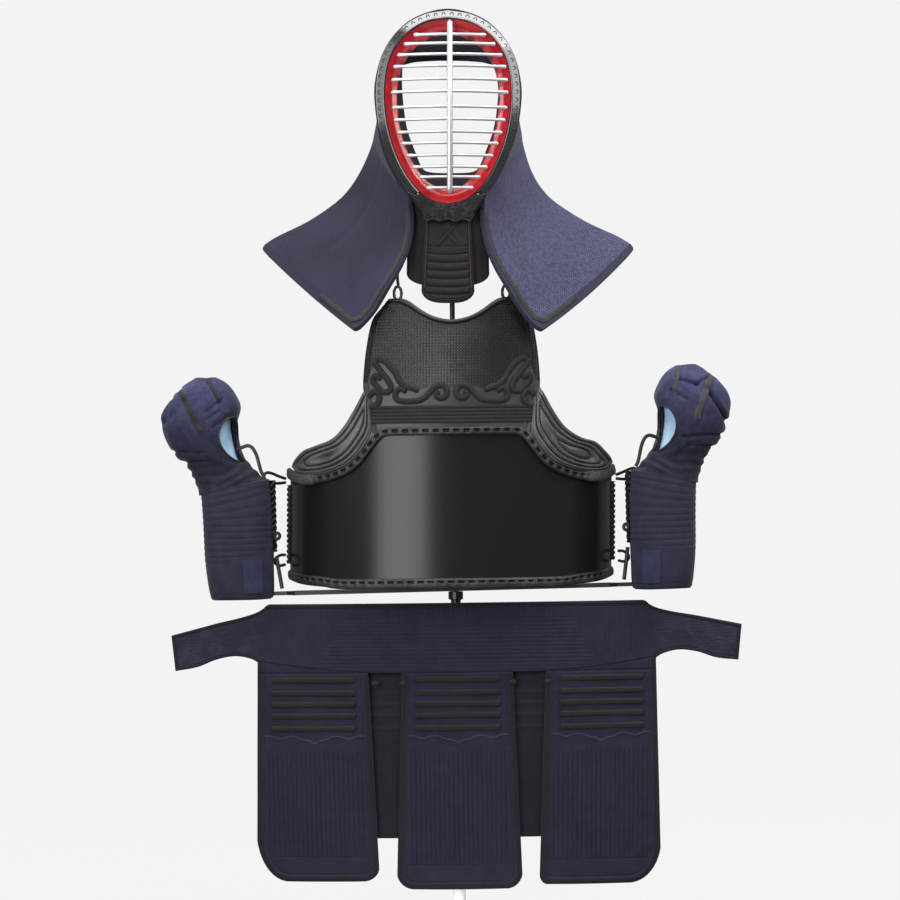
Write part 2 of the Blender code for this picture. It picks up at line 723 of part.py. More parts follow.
def build_do_cords(parts):
    """Top cords up to the yoke, and the short side cords that reach toward the kote."""
    for side, sign in SIDES:
        top = [
            (sign * 0.0755, -0.0735, 0.9358),
            (sign * 0.0765, -0.066, 0.9440),
            (sign * 0.0765, -0.046, 0.9580),
            (sign * 0.0735, -0.020, 0.9740),
            (sign * 0.0690, 0.0005, 0.9860),
        ]
        tube(f"do_top_cord_{side}", top, 0.0022, 0.010, parts["cord"])
        upper = [(0.2405, 0.070, 0.6642), (0.250, 0.062, 0.6680), (0.259, 0.053, 0.6722), (0.266, 0.0455, 0.6735)]
        upper += [(0.2698, 0.0400, 0.6690), (0.267, 0.0425, 0.6622), (0.260, 0.050, 0.6590), (0.251, 0.058, 0.6577)]
        upper += [(0.2405, 0.066, 0.6586)]
        lower = [(0.2425, 0.066, 0.5535), (0.2485, 0.054, 0.5535), (0.2540, 0.043, 0.5500), (0.2555, 0.0375, 0.5460)]
        lower += [(0.2540, 0.043, 0.5410), (0.2485, 0.053, 0.5385), (0.2425, 0.062, 0.5395)]
        for which, route in (("upper", upper), ("lower", lower)):
            route = [(SHELF_X + sign * x, y, z) for x, y, z in route]
            tube(f"do_{which}_cord_{side}", route, 0.0022, 0.005, parts["cord"])


# ---------------------------------------------------------------- kote


def oval_rings(sections, count, angles):
    """Rings of an oval tube. Section columns are height, inner x, outer x and half depth."""
    table = smooth(np.array(sections) * MM, count)
    height, low, high, depth = table.T
    middle, half = (low + high) / 2, (high - low) / 2
    squarer = 0.85
    c, s = np.cos(angles), np.sin(angles)
    x = middle[:, None] + half[:, None] * np.sign(c) * np.abs(c) ** squarer
    y = depth[:, None] * np.sign(s) * np.abs(s) ** squarer
    z = np.repeat(height[:, None], len(angles), axis=1)
    return np.stack([x, y, z], axis=2)


def seam_height(x):
    """The sloping seam between cuff and fist, higher on the cuff's inner side."""
    return CUFF_TOP + CUFF_TOP_SLANT * (0.564 - x / 0.101)


def build_kote(parts, lean, side, sign):
    """One gauntlet: fist, cuff, palm, patch, lacing, its free end and the wrist loop."""

    def put(grid):
        wide = np.array(grid) * [KOTE_WIDE[side], 1, 1]
        return (wide + [KOTE_X, 0, -KOTE_DROP]) * [sign, 1, 1] + [SHELF_X, 0, 0]

    angles = np.arange(16) * 2 * pi / 16 + pi / 16
    rings = oval_rings(FIST_SECTIONS, 11, angles)
    rings[0, :, 2] = seam_height(rings[0, :, 0]) + SEAM
    rings[1, :, 2] = np.maximum(rings[1, :, 2], rings[0, :, 2] + 0.004)
    out = normals(rings, ring=True)
    if (out[6, 0, 0]) < 0:
        out = -out
    out[0, :, 2] = 0
    out[0] /= np.linalg.norm(out[0], axis=1, keepdims=True)
    inside = rings - out * KOTE_WALL
    inside[0, :, 2] = seam_height(inside[0, :, 0]) + SEAM
    fist = wall(f"kote_fist_{side}", put(rings), put(inside), parts["indigo"], ring=True, cap=True, parent=lean)
    aim = np.array([-cos(radians(38)), -sin(radians(38)), 0.0])
    across = np.array([-aim[1], aim[0], 0.0])
    start = np.array([0.052, 0, 0.224])
    path = put(np.stack([start + aim * d for d in (0.012, 0.075)]))
    ahead = path[1] - path[0]
    ahead /= np.linalg.norm(ahead)
    out_dir = np.array([[0.0, 0.0, 1.0], [0.0, 0.0, 1.0]])
    hole = [(0.022 * cos(a), 0.028 * sin(a)) for a in np.arange(14) * 2 * pi / 14]
    cutter = sweep(f"palm_opening_{side}", path, out_dir, hole, parts["indigo"], parent=lean)
    combine(fist, [cutter], "DIFFERENCE")
    rows = slice(2, 8)
    columns = slice(8, 13)
    base, back = rings[rows, columns], out[rows, columns]
    near = put(base - back * (KOTE_WALL + SEAM))
    far = put(base - back * (KOTE_WALL + SEAM + 0.0015))
    wall(f"kote_palm_{side}", near, far, parts["palm_leather"], parent=lean)

    turn = np.linspace(pi + SLIT_HALF_ANGLE, 3 * pi - SLIT_HALF_ANGLE, 20)
    rings = oval_rings(CUFF_SECTIONS, 6, turn)
    rings[-1, :, 2] = seam_height(rings[-1, :, 0])
    out = normals(rings)
    if out[3, 10, 0] < 0:
        out = -out
    out[-1, :, 2] = 0
    out[-1] /= np.linalg.norm(out[-1], axis=1, keepdims=True)
    inside = rings - out * CUFF_WALL
    inside[-1, :, 2] = seam_height(inside[-1, :, 0])
    wall(f"kote_cuff_{side}", put(rings), put(inside), parts["indigo"], parent=lean)
    build_kote_laces(parts, lean, side, put)


def build_kote_laces(parts, lean, side, put):
    """Zigzag over the slit, its free end, the wrist loop and a plain woven patch."""
    crossings = 6
    zigzag = []
    for step in range(crossings + 1):
        zigzag.append((-0.0490, 0.011 * (-1) ** step, 0.060 + 0.013 * step))
    tube(f"kote_lacing_{side}", put(np.array(zigzag)), 0.0016, 0.0090, parts["cord"], lean)
    end = [(-0.051, -0.0145, 0.054), (-0.0525, -0.0165, 0.044), (-0.055, -0.0175, 0.028), (-0.058, -0.018, 0.008)]
    tube(f"kote_lace_end_{side}", put(np.array(end)), 0.0028, 0.008, parts["cord"], lean)
    loop = [(-0.0082, -0.014, 0.2112), (-0.0148, -0.0155, 0.2128), (-0.0212, -0.0165, 0.2090), (-0.0265, -0.017, 0.1985)]
    loop += [(-0.0298, -0.0175, 0.1855), (-0.0328, -0.018, 0.1745), (-0.0362, -0.018, 0.1690)]
    tube(f"kote_wrist_loop_{side}", put(np.array(loop)), 0.0026, 0.008, parts["cord"], lean)
    turn = np.linspace(pi + radians(44), pi + radians(84), 5)
    rings = oval_rings(CUFF_SECTIONS, 40, turn)[3:16:6]
    out = normals(rings)
    if out[1, 1, 1] > 0:
        out = -out
    near, far = put(rings + out * SEAM * 2), put(rings + out * (SEAM * 2 + 0.0008))
    wall(f"kote_label_{side}", far, near, parts["indigo"], parent=lean)


# ---------------------------------------------------------------- tare


def tare_y(x):
    """Front of the belt and panels at a distance x from the middle."""
    return TARE_FRONT + TARE_CURVE * (x / TARE_HALF) ** 2


def belt_bottom(x):
    """The belt's lower edge rises toward its ends."""
    return BELT_BOTTOM + 0.017 * np.clip((np.abs(x) - 0.115) / 0.165, 0, None) ** 1.6


def build_tare(parts):
    """Belt, straps, three large panels with their braid bars, and two small panels behind."""
    share = np.linspace(-1, 1, 19)
    v = np.linspace(0, 1, 4)[:, None]
    half = 0.2735 + 0.0105 * v
    x = share * half
    z = BELT_TOP + (belt_bottom(x) - BELT_TOP) * v
    grid = np.stack([x + TARE_X, tare_y(x), z], axis=2)
    wall("tare_belt", grid, grid + [0, BELT_THICK, 0], parts["indigo_dark"])

    for side, sign in SIDES:
        table = smooth(np.array(STRAP_ROWS) * MM, 9)
        v = np.linspace(0, 1, 4)[:, None]
        first = 0.2742 + 0.0105 * v + SEAM
        x = first + (table[:, 0] - table[0, 0]) * (table[-1, 0] - first) / (table[-1, 0] - table[0, 0])
        lift = sign * STRAP_TIP_LIFT * (x - first) / (table[-1, 0] - first)
        z = table[:, 1] + (table[:, 2] - table[:, 1]) * v + lift
        grid = np.stack([sign * x + TARE_X, tare_y(x) + 0.001, z], axis=2)
        wall(f"tare_strap_{side}", grid, grid + [0, 0.007, 0], parts["indigo_dark"])

    for side, bottom, *corners in PANELS:
        corners, curves = corners[:4], corners[4:]
        grid = panel_grid(corners, bottom, curves, 0, 0.004, 9, 15)
        wall(f"tare_panel_{side}", grid, grid + [0, PANEL_THICK, 0], parts["indigo"])
        build_braid_bars(parts, side, corners)
    for side, sign in SIDES:
        corners = [sign * 0.104 - 0.058, sign * 0.104 + 0.058, sign * 0.100 - 0.055, sign * 0.100 + 0.055]
        grid = panel_grid(corners, INNER_BOTTOM, (0.012,) * 4, PANEL_THICK + 0.0008, 0, 6, 7)
        wall(f"tare_inner_panel_{side}", grid, grid + [0, INNER_THICK, 0], parts["indigo_dark"])


def panel_grid(corners, bottom, curves, back, bow, rows, columns):
    """A hanging panel, set back by back and bowed forward at its lower middle.

    corners: left and right x at the top, then at the bottom; curves: width and height of each lower corner's
    quarter of an ellipse.
    """
    u = 0.5 - 0.5 * np.cos(np.linspace(0, pi, columns))
    v = np.linspace(0, 1, rows)[:, None]
    left = corners[0] + (corners[2] - corners[0]) * v
    right = corners[1] + (corners[3] - corners[1]) * v
    x = left + (right - left) * u
    wide = corners[3] - corners[2]
    low = bottom + np.zeros_like(u)
    for edge, (width, height) in ((u * wide, curves[:2]), ((1 - u) * wide, curves[2:])):
        inset = np.clip(width - edge, 0, width) / width
        low += height * (1 - np.sqrt(1 - 0.96 * inset**2))
    top = belt_bottom(x[0]) - SEAM
    z = top + (low - top) * v
    y = tare_y(x) + back - bow * (1 - (2 * u - 1) ** 2) * v
    return np.stack([x + TARE_X, y, z], axis=2)


def build_braid_bars(parts, side, corners):
    """Five braid bars across the top of a panel, on one backing strip."""
    bars, top, bottom = 5, 0.3845, 0.300
    inset = 0.020
    u = np.linspace(0, 1, 9)
    v = np.linspace(0, 1, 2 * bars + 1)[:, None]
    x = corners[0] + inset + (corners[1] - corners[0] - 2 * inset) * u
    x = np.broadcast_to(x, (2 * bars + 1, 9))
    z = (top + (bottom - top) * v) * np.ones_like(u)
    base = tare_y(x) - 0.004
    lift = np.where(np.arange(2 * bars + 1) % 2, 0.0050, 0.0014)[:, None]
    near = np.stack([x + TARE_X, base - SEAM, z], axis=2)
    far = np.stack([x + TARE_X, base - SEAM - lift, z], axis=2)
    wall(f"tare_braids_{side}", far, near, parts["braid"])


def main():
    clear_scene()
    parts = {
        "indigo": finish("indigo_cloth", (0.030, 0.032, 0.075), 0.9),
        "indigo_dark": finish("indigo_cloth_dark", (0.022, 0.020, 0.038), 0.9),
        "dark_cloth": finish("face_cloth", (0.020, 0.016, 0.020), 0.9),
        "black_leather": finish("black_leather", (0.020, 0.020, 0.021), 0.45),
        "chest_leather": finish("chest_leather", (0.035, 0.035, 0.038), 0.4),
        "red_lacquer": finish("red_lacquer", (0.50, 0.015, 0.02), 0.25),
        "bar_metal": finish("bar_metal", (0.80, 0.80, 0.82), 0.25, 1.0),
        "black_lacquer": finish("black_lacquer", (0.010, 0.011, 0.013), 0.08),
        "palm_leather": finish("palm_leather", (0.32, 0.49, 0.67), 0.7),
        "braid": finish("braid", (0.022, 0.020, 0.019), 0.7),
        "cord": finish("cord", (0.012, 0.012, 0.013), 0.6),
        "metal": finish("stand_metal", (0.015, 0.015, 0.016), 0.4),
        "pale": finish("stand_pale", (0.75, 0.75, 0.75), 0.5),
    }
    lean = empty("shelf_lean", (0, 0, SHELF_HEIGHT), -SHELF_LEAN)
    turn = empty("men_turn", (MEN_X, 0, MEN_PIVOT), MEN_TURN)
    # Men pieces are given in heights above the floor, so their frame is moved back down to it.
    men = empty("men_frame", (0, 0, 0), 0)
    men.parent = turn
    men.matrix_parent_inverse = Matrix.Translation((0, 0, -MEN_PIVOT))
    build_stand(parts["metal"], parts["pale"], lean)
    build_men(parts, men)
    build_do(parts)
    build_do_cords(parts)
    for side, sign in SIDES:
        build_kote(parts, lean, side, sign)
    build_tare(parts)


main()
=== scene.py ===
"""Looks of a kendo armour on its display stand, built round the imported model.

Metres, +Z up, the armour faces -Y. Surfaces are grids of points worked out from named sizes and short tables in
millimetres. Each grid becomes a closed wall, and what lies on a wall is made from that wall's own points.
"""

import json
from math import cos, pi, radians, sin

import bpy
import numpy as np
from mathutils import Matrix

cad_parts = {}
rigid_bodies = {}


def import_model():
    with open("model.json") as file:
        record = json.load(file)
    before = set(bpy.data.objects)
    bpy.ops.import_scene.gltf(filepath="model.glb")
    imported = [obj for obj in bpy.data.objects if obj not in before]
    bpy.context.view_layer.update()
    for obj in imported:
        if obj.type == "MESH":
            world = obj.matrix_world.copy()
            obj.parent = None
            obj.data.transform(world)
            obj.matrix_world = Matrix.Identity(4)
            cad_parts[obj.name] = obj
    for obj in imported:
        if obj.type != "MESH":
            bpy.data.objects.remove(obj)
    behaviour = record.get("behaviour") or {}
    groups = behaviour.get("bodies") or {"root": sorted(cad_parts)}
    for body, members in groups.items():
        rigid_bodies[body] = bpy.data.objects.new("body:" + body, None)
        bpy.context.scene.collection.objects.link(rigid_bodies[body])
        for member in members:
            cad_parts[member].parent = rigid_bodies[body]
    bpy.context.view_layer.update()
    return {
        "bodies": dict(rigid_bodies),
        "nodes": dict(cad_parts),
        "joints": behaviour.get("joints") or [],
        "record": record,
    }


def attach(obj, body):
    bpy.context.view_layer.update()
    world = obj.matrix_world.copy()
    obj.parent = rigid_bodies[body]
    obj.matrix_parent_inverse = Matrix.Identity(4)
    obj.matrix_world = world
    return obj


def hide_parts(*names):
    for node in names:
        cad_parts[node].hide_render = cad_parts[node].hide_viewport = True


MM = 0.001
SIDES = (("left", -1), ("right", 1))

# ---------------- meshes


def smooth_line(rows, count):
    """count points, evenly spaced, on the Catmull-Rom curve through the rows."""
    rows = np.array(rows, float)
    ends = np.vstack([2 * rows[0] - rows[1], rows, 2 * rows[-1] - rows[-2]])
    place = np.linspace(0, len(rows) - 1, 24 * len(rows))
    first = np.minimum(place.astype(int), len(rows) - 2)
    t = (place - first)[:, None]
    a, b, c, d = (ends[first + step] for step in range(4))
    curve = 0.5 * (2 * b + (c - a) * t + (2 * a - 5 * b + 4 * c - d) * t**2 + (3 * b - a - 3 * c + d) * t**3)
    length = np.append(0, np.cumsum(np.linalg.norm(np.diff(curve, axis=0), axis=1)))
    even = np.linspace(0, length[-1], count)
    return np.stack([np.interp(even, length, column) for column in curve.T], axis=1)


def drawn(rows, count):
    """A smooth line through rows given in millimetres."""
    return smooth_line(np.array(rows, float) * MM, count)


def unit(vectors):
    """Vectors divided by their lengths."""
    return vectors / np.maximum(np.linalg.norm(vectors, axis=-1, keepdims=True), 1e-12)


def forward(count):
    """The direction the armour faces, once for each of count points."""
    return np.tile([0.0, -1.0, 0.0], (count, 1))


def along_y(lengths):
    """Moves of the given lengths along Y."""
    return np.asarray(lengths)[..., None] * [0.0, 1.0, 0.0]


def rounding(from_end, reach, least):
    """Share of full size near a rounded end: (1 - (1 - d / reach)^2)^0.5, and its square at least least."""
    return np.sqrt(np.clip(1 - (1 - np.clip(from_end / reach, 0, 1)) ** 2, least, 1))


def from_ends(along):
    """Distance of each point of a line from its nearer end."""
    return np.minimum(along, along[-1] - along)


def grid_normals(grid, ring=False):
    """Unit normals of a grid (rows, columns, 3): the cross product of its two directions."""
    down = np.gradient(grid, axis=0)
    if ring:
        along = np.roll(grid, -1, axis=1) - np.roll(grid, 1, axis=1)
    else:
        along = np.gradient(grid, axis=1)
    return unit(np.cross(down, along))


def path_length(points):
    """Distance travelled along a line of points."""
    return np.append(0, np.cumsum(np.linalg.norm(np.diff(points, axis=0), axis=1)))


def grid_lengths(grid, ring=False):
    """Each point's distance along its row and down its column, averaged over the grid, in metres."""
    closed = np.concatenate([grid, grid[:, :1]], axis=1) if ring else grid
    across = np.linalg.norm(np.diff(closed, axis=1), axis=2).mean(axis=0)
    down = np.linalg.norm(np.diff(closed, axis=0), axis=2).mean(axis=1)
    u = np.append(0, np.cumsum(across))
    v = np.append(0, np.cumsum(down))
    return np.stack(np.broadcast_arrays(u[None, :], v[:, None]), axis=2)


def bump_at(distance, width):
    """1 at distance 0, falling smoothly to 0 at width on both sides."""
    return np.cos(np.clip(np.abs(distance) / width, 0, 1) * pi / 2) ** 2


def step_up(value, low, high):
    """0 below low, 1 above high, smooth between."""
    t = np.clip((value - low) / (high - low), 0, 1)
    return t * t * (3 - 2 * t)


def hold(name, data):
    """A new object of the scene that holds a mesh, a curve, a lamp or a camera."""
    holder = bpy.data.objects.new(name, data)
    bpy.context.scene.collection.objects.link(holder)
    return holder


def build(name, points, groups, finish, sharp=40, marks=None):
    """A mesh object. groups are (faces, corner uv) arrays; faces are turned so that the volume is positive."""
    volume = 0.0
    for faces, _ in groups:
        corners = points[faces]
        for step in range(1, faces.shape[1] - 1):
            volume += (corners[:, 0] * np.cross(corners[:, step], corners[:, step + 1])).sum()
    if volume < 0:
        groups = [(faces[:, ::-1], uv[:, ::-1]) for faces, uv in groups]
    mesh = bpy.data.meshes.new(name)
    corner = np.concatenate([faces.ravel() for faces, _ in groups]).astype(np.int32)
    sizes = np.concatenate([np.full(len(faces), faces.shape[1]) for faces, _ in groups])
    starts = np.append(0, np.cumsum(sizes)[:-1]).astype(np.int32)
    mesh.vertices.add(len(points))
    mesh.vertices.foreach_set("co", points.astype(np.float32).ravel())
    mesh.loops.add(len(corner))
    mesh.loops.foreach_set("vertex_index", corner)
    mesh.polygons.add(len(sizes))
    mesh.polygons.foreach_set("loop_start", starts)
    mesh.update(calc_edges=True)
    mesh.validate()
    chart = mesh.uv_layers.new(name="cloth")
    flat = np.concatenate([uv.reshape(-1, 2) for _, uv in groups])
    chart.data.foreach_set("uv", flat.astype(np.float32).ravel())
    for mark, values in (marks or {}).items():
        layer = mesh.attributes.new(mark, "FLOAT", "POINT")
        layer.data.foreach_set("value", np.asarray(values, np.float32))
    mesh.shade_smooth()
    mesh.set_sharp_from_angle(angle=radians(sharp))
    mesh.materials.append(finish)
    piece = hold(name, mesh)
    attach(piece, "root")
    return piece


def quads_of(index, uv):
    """Quads between neighbouring points of an index grid, with each corner's uv."""
    faces = np.stack([index[:-1, :-1], index[1:, :-1], index[1:, 1:], index[:-1, 1:]], axis=-1)
    corners = np.stack([uv[:-1, :-1], uv[1:, :-1], uv[1:, 1:], uv[:-1, 1:]], axis=-2)
    return faces.reshape(-1, 4), corners.reshape(-1, 4, 2)


def kept(grid, marks, axis, slack):
    """Rows (axis 0) or columns (axis 1) that hold a grid's shape: closer where it bends, up to 8 steps apart.

    A chord over n steps is n^2 / 8 of the second difference away from the surface, and slack is the most it may be.
    """
    amount = np.linalg.norm(np.diff(grid, 2, axis=axis), axis=2).max(axis=1 - axis) / (8 * slack)
    for values in marks:
        amount = amount + np.abs(np.diff(values, 2, axis=axis)).max(axis=1 - axis) * 1.5
    steps = np.clip(np.sqrt(amount), 1 / 8, 1)
    steps = np.append(steps[:1], steps)
    total = np.append(0, np.cumsum(steps))
    even = np.linspace(0, total[-1], int(np.ceil(total[-1])) + 1)
    return np.unique(np.round(np.interp(even, total, np.arange(len(total)))).astype(int))


def join_lines(near, near_at, far, far_at, near_uv, far_uv):
    """Triangles between two lines of points, each side's segments tied to the nearest point of the other."""
    near_middle, far_middle = (near_at[1:] + near_at[:-1]) / 2, (far_at[1:] + far_at[:-1]) / 2
    tip, foot = np.searchsorted(far_middle, near_middle), np.searchsorted(near_middle, far_middle, side="right")
    first = np.stack([near[1:], near[:-1], far[tip]], axis=1)
    second = np.stack([far[:-1], far[1:], near[foot]], axis=1)
    places = np.stack([near_uv[1:], near_uv[:-1], far_uv[tip]], axis=1)
    others = np.stack([far_uv[:-1], far_uv[1:], near_uv[foot]], axis=1)
    return np.concatenate([first, second]), np.concatenate([places, others])


def wall(name, outer, inner, finish, ring=False, uv=None, sharp=40, marks=None):
    """The closed piece between two grids.

    Rows and columns that the ones beside them already describe are left out, more of them on the inner side.
    """
    rows, columns = outer.shape[:2]
    if uv is None:
        uv = grid_lengths(outer, ring)
    marks = {mark: np.broadcast_to(values, (rows, columns)) for mark, values in (marks or {}).items()}
    points, groups, sides = [], [], []
    spread = {mark: [] for mark in marks}
    start = 0
    for grid, slack, shown in ((outer, 0.00004, list(marks.values())), (inner, 0.00020, [])):
        closed = np.concatenate([grid, grid[:, :1]], axis=1) if ring else grid
        down, across = kept(grid, shown, 0, slack), kept(closed, shown if not ring else [], 1, slack)
        own = across[:-1] if ring else across
        index = start + np.arange(len(down) * len(own)).reshape(len(down), len(own))
        if ring:
            index = np.hstack([index, index[:, :1]])
        chart = uv[np.ix_(down, across)]
        points.append(grid[np.ix_(down, own)].reshape(-1, 3))
        for mark, values in marks.items():
            spread[mark].append(values[np.ix_(down, own)].ravel())
        start += len(points[-1])
        faces, corners = quads_of(index, chart)
        groups.append((faces, corners) if not sides else (faces[:, ::-1], corners[:, ::-1]))
        sides.append((index, chart, down, across))
    (near, near_uv, near_down, near_across), (far, far_uv, far_down, far_across) = sides
    groups.append(join_lines(far[0], far_across, near[0], near_across, far_uv[0], near_uv[0]))
    groups.append(join_lines(near[-1], near_across, far[-1], far_across, near_uv[-1], far_uv[-1]))
    if not ring:
        groups.append(join_lines(near[:, 0], near_down, far[:, 0], far_down, near_uv[:, 0], far_uv[:, 0]))
        groups.append(join_lines(far[:, -1], far_down, near[:, -1], near_down, far_uv[:, -1], near_uv[:, -1]))
    spread = {mark: np.concatenate(values) for mark, values in spread.items()}
    return build(name, np.vstack(points), groups, finish, sharp, spread)


def sweep_rings(path, out, section):
    """Rings of a section carried along a path. Section points are (across, along the normal out)."""
    ahead = np.gradient(path, axis=0)
    across = unit(np.cross(out, ahead))
    section = np.asarray(section, float)
    if section.ndim == 2:
        section = np.broadcast_to(section, (len(path), *section.shape))
    return path[:, None] + across[:, None] * section[..., :1] + out[:, None] * section[..., 1:]


def tube_groups(rings, closed, start=0):
    """Faces of a tube through rings of points, its ends closed over their middle points unless it is a loop."""
    count, sides = rings.shape[:2]
    index = start + np.arange(count * sides).reshape(count, sides)
    index = np.hstack([index, index[:, :1]])
    if closed:
        index = np.vstack([index, index[:1]])
    along = path_length(np.vstack([rings.mean(axis=1), rings[:1].mean(axis=1)])[: len(index)])
    girth = np.linalg.norm(np.roll(rings[0], -1, axis=0) - rings[0], axis=1).sum()
    around = np.linspace(0, girth, sides + 1)
    uv = np.stack(np.broadcast_arrays(around[None, :], along[:, None]), axis=2)
    groups = [quads_of(index, uv)]
    if not closed:
        hubs = start + count * sides + np.arange(2)
        for line, hub, place in ((index[0, ::-1], hubs[0], uv[0]), (index[-1], hubs[1], uv[-1])):
            fan = np.stack([line[:-1], np.full(sides, hub), line[1:]], axis=1)
            groups.append((fan, np.broadcast_to(place[:1, None], (sides, 3, 2))))
    return groups


def tube_points(rings, closed):
    """The points that tube_groups counts on: the rings, then the two end middles."""
    points = rings.reshape(-1, 3)
    if closed:
        return points
    return np.vstack([points, rings[:1].mean(axis=1), rings[-1:].mean(axis=1)])


def loop_rings(path, out, section):
    """Rings of a section, or of one for each point, carried round a closed path."""
    section = np.asarray(section, float)
    if section.ndim == 3:
        section = np.concatenate([section[-1:], section, section[:1]])
    longer = np.vstack([path[-1:], path, path[:1]])
    return sweep_rings(longer, np.vstack([out[-1:], out, out[:1]]), section)[1:-1]


def loop_piece(name, rings, finish, sharp, put=np.asarray):
    """A closed loop made from its rings, with its points moved by put."""
    return build(name, put(tube_points(rings, True)), tube_groups(rings, True), finish, sharp)


def many(name, shapes, finish, sharp=40):
    """One piece from many closed tubes, each an array of rings."""
    points, groups, start = [], [], 0
    for rings in shapes:
        points.append(tube_points(rings, False))
        groups += tube_groups(rings, False, start)
        start += len(points[-1])
    return build(name, np.vstack(points), groups, finish, sharp)


def crowned(width, low, high, power, steps):
    """A strip's section: flat at low, domed to high: height = low + (high - low) (1 - |x|^power)^(1/power)."""
    x = np.cos(np.linspace(0, pi, steps)) * width / 2
    y = low + (high - low) * (1 - np.abs(2 * x / width) ** power) ** (1 / power)
    y[[0, -1]] = low + 0.3 * (high - low)
    return np.vstack([np.stack([x, y], axis=1), [(-width / 2, low), (width / 2, low)]])


def circle(radius, sides):
    """A round section."""
    angle = np.arange(sides) * 2 * pi / sides
    return np.stack([radius * np.cos(angle), radius * np.sin(angle)], axis=1)


def cord(name, route, radius, finish, spacing):
    """A round cord: a bevelled curve of one open spline along the smooth line through the route."""
    route = np.array(route, float)
    length = path_length(route)[-1]
    points = smooth_line(route, max(15, int(round(length / spacing)) + 1))
    curve = bpy.data.curves.new(name, "CURVE")
    curve.dimensions = "3D"
    curve.bevel_depth = radius
    curve.bevel_resolution = 4
    curve.use_fill_caps = True
    line = curve.splines.new("POLY")
    line.points.add(len(points) - 1)
    line.points.foreach_set("co", np.hstack([points, np.ones((len(points), 1))]).ravel())
    line.use_smooth = True
    curve.materials.append(finish)
    piece = hold(name, curve)
    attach(piece, "root")
    return piece, path_length(points)[-1], points


# ---------------- finishes


def operation(name):
    """A Value method that adds one Math node."""
    return lambda self, *others: self.math(name, *others)


class Value:
    """A shader socket that adds, subtracts, multiplies and divides as a number does."""

    def __init__(self, finish, socket):
        self.finish = finish
        self.socket = socket

    def math(self, name, *others):
        return self.finish.node("ShaderNodeMath", {"operation": name}, dict(enumerate((self, *others))))

    __add__ = __radd__ = operation("ADD")
    __mul__ = __rmul__ = operation("MULTIPLY")
    __sub__, __truediv__ = operation("SUBTRACT"), operation("DIVIDE")
    sine, size = operation("SINE"), operation("ABSOLUTE")
    floor, fraction = operation("FLOOR"), operation("FRACT")
    lower, higher = operation("MINIMUM"), operation("MAXIMUM")

    def __rsub__(self, other):
        return self * -1 + other

    def wave(self, pitch):
        """A smooth wave from 0 to 1 that repeats at each pitch."""
        return (self * (2 * pi / pitch)).sine() * 0.5 + 0.5

    def ramp(self, low, high):
        """0 below low, 1 above high, smooth between."""
        settings = {"interpolation_type": "SMOOTHSTEP"}
        return self.finish.node("ShaderNodeMapRange", settings, {"Value": self, "From Min": low, "From Max": high})


class Finish:
    """A Principled material made for one of the armour's finishes, and kept with the others in made."""

    made = {}

    def __init__(self, name, colour, roughness, metallic=0.0, **fixed):
        self.material = Finish.made[name] = bpy.data.materials.new(name)
        self.material.use_nodes = True
        self.tree = self.material.node_tree
        self.shader = self.tree.nodes["Principled BSDF"]
        self.shader.inputs["Base Color"].default_value = (*colour, 1)
        self.shader.inputs["Roughness"].default_value = roughness
        self.shader.inputs["Metallic"].default_value = metallic
        for socket, value in fixed.items():
            self.shader.inputs[socket.replace("_", " ")].default_value = value

    def node(self, kind, settings=None, sockets=None, output=0):
        """Adds a node: its settings first, then the values or links of its sockets. Returns one output."""
        made = self.tree.nodes.new(kind)
        for setting, value in (settings or {}).items():
            setattr(made, setting, value)
        for socket, value in (sockets or {}).items():
            if isinstance(value, Value):
                self.tree.links.new(value.socket, made.inputs[socket])
            else:
                made.inputs[socket].default_value = value
        return Value(self, made.outputs[output])

    def axes(self, vector):
        """The three numbers of a vector."""
        made = self.node("ShaderNodeSeparateXYZ", {}, {0: vector})
        return [Value(self, socket) for socket in made.socket.node.outputs]

    def place(self):
        """Position on the armour."""
        return self.node("ShaderNodeTexCoord", output="Object")

    def chart(self):
        """The piece's own chart, in metres along and down the cloth."""
        made = self.node("ShaderNodeUVMap", {"uv_map": "cloth"})
        return made, *self.axes(made)[:2]

    def marks(self, *names):
        """The piece's own marks, each a number at every point."""
        return [self.node("ShaderNodeAttribute", {"attribute_name": name}, output=2) for name in names]

    def noise(self, vector, scale, detail=3.0, roughness=0.55, output=0):
        sockets = {"Vector": vector, "Scale": scale, "Detail": detail, "Roughness": roughness}
        return self.node("ShaderNodeTexNoise", {}, sockets, output)

    def blend(self, share, first, second):
        """A colour from first to second by share; each may be a tuple or a link."""
        sockets = {"Factor": share}
        for name, colour in (("A", first), ("B", second)):
            sockets[name] = colour if isinstance(colour, Value) else (*colour, 1)
        made = self.tree.nodes.new("ShaderNodeMix")
        made.data_type = "RGBA"
        for name, value in sockets.items():
            kind = "VALUE" if name == "Factor" else "RGBA"
            socket = [s for s in made.inputs if s.name == name and s.type == kind][0]
            if isinstance(value, Value):
                self.tree.links.new(value.socket, socket)
            else:
                socket.default_value = value
        return Value(self, [s for s in made.outputs if s.type == "RGBA"][0])

    def set(self, **links):
        """Links values to the shader's sockets."""
        for socket, value in links.items():
            self.tree.links.new(value.socket, self.shader.inputs[socket.replace("_", " ")])

    def relief(self, height, distance, strength=1.0):
        """Bumps the surface by height, given in parts of distance."""
        sockets = {"Height": height, "Distance": distance, "Strength": strength}
        self.set(Normal=self.node("ShaderNodeBump", {}, sockets))
        return self


# ---------------- sizes and tables

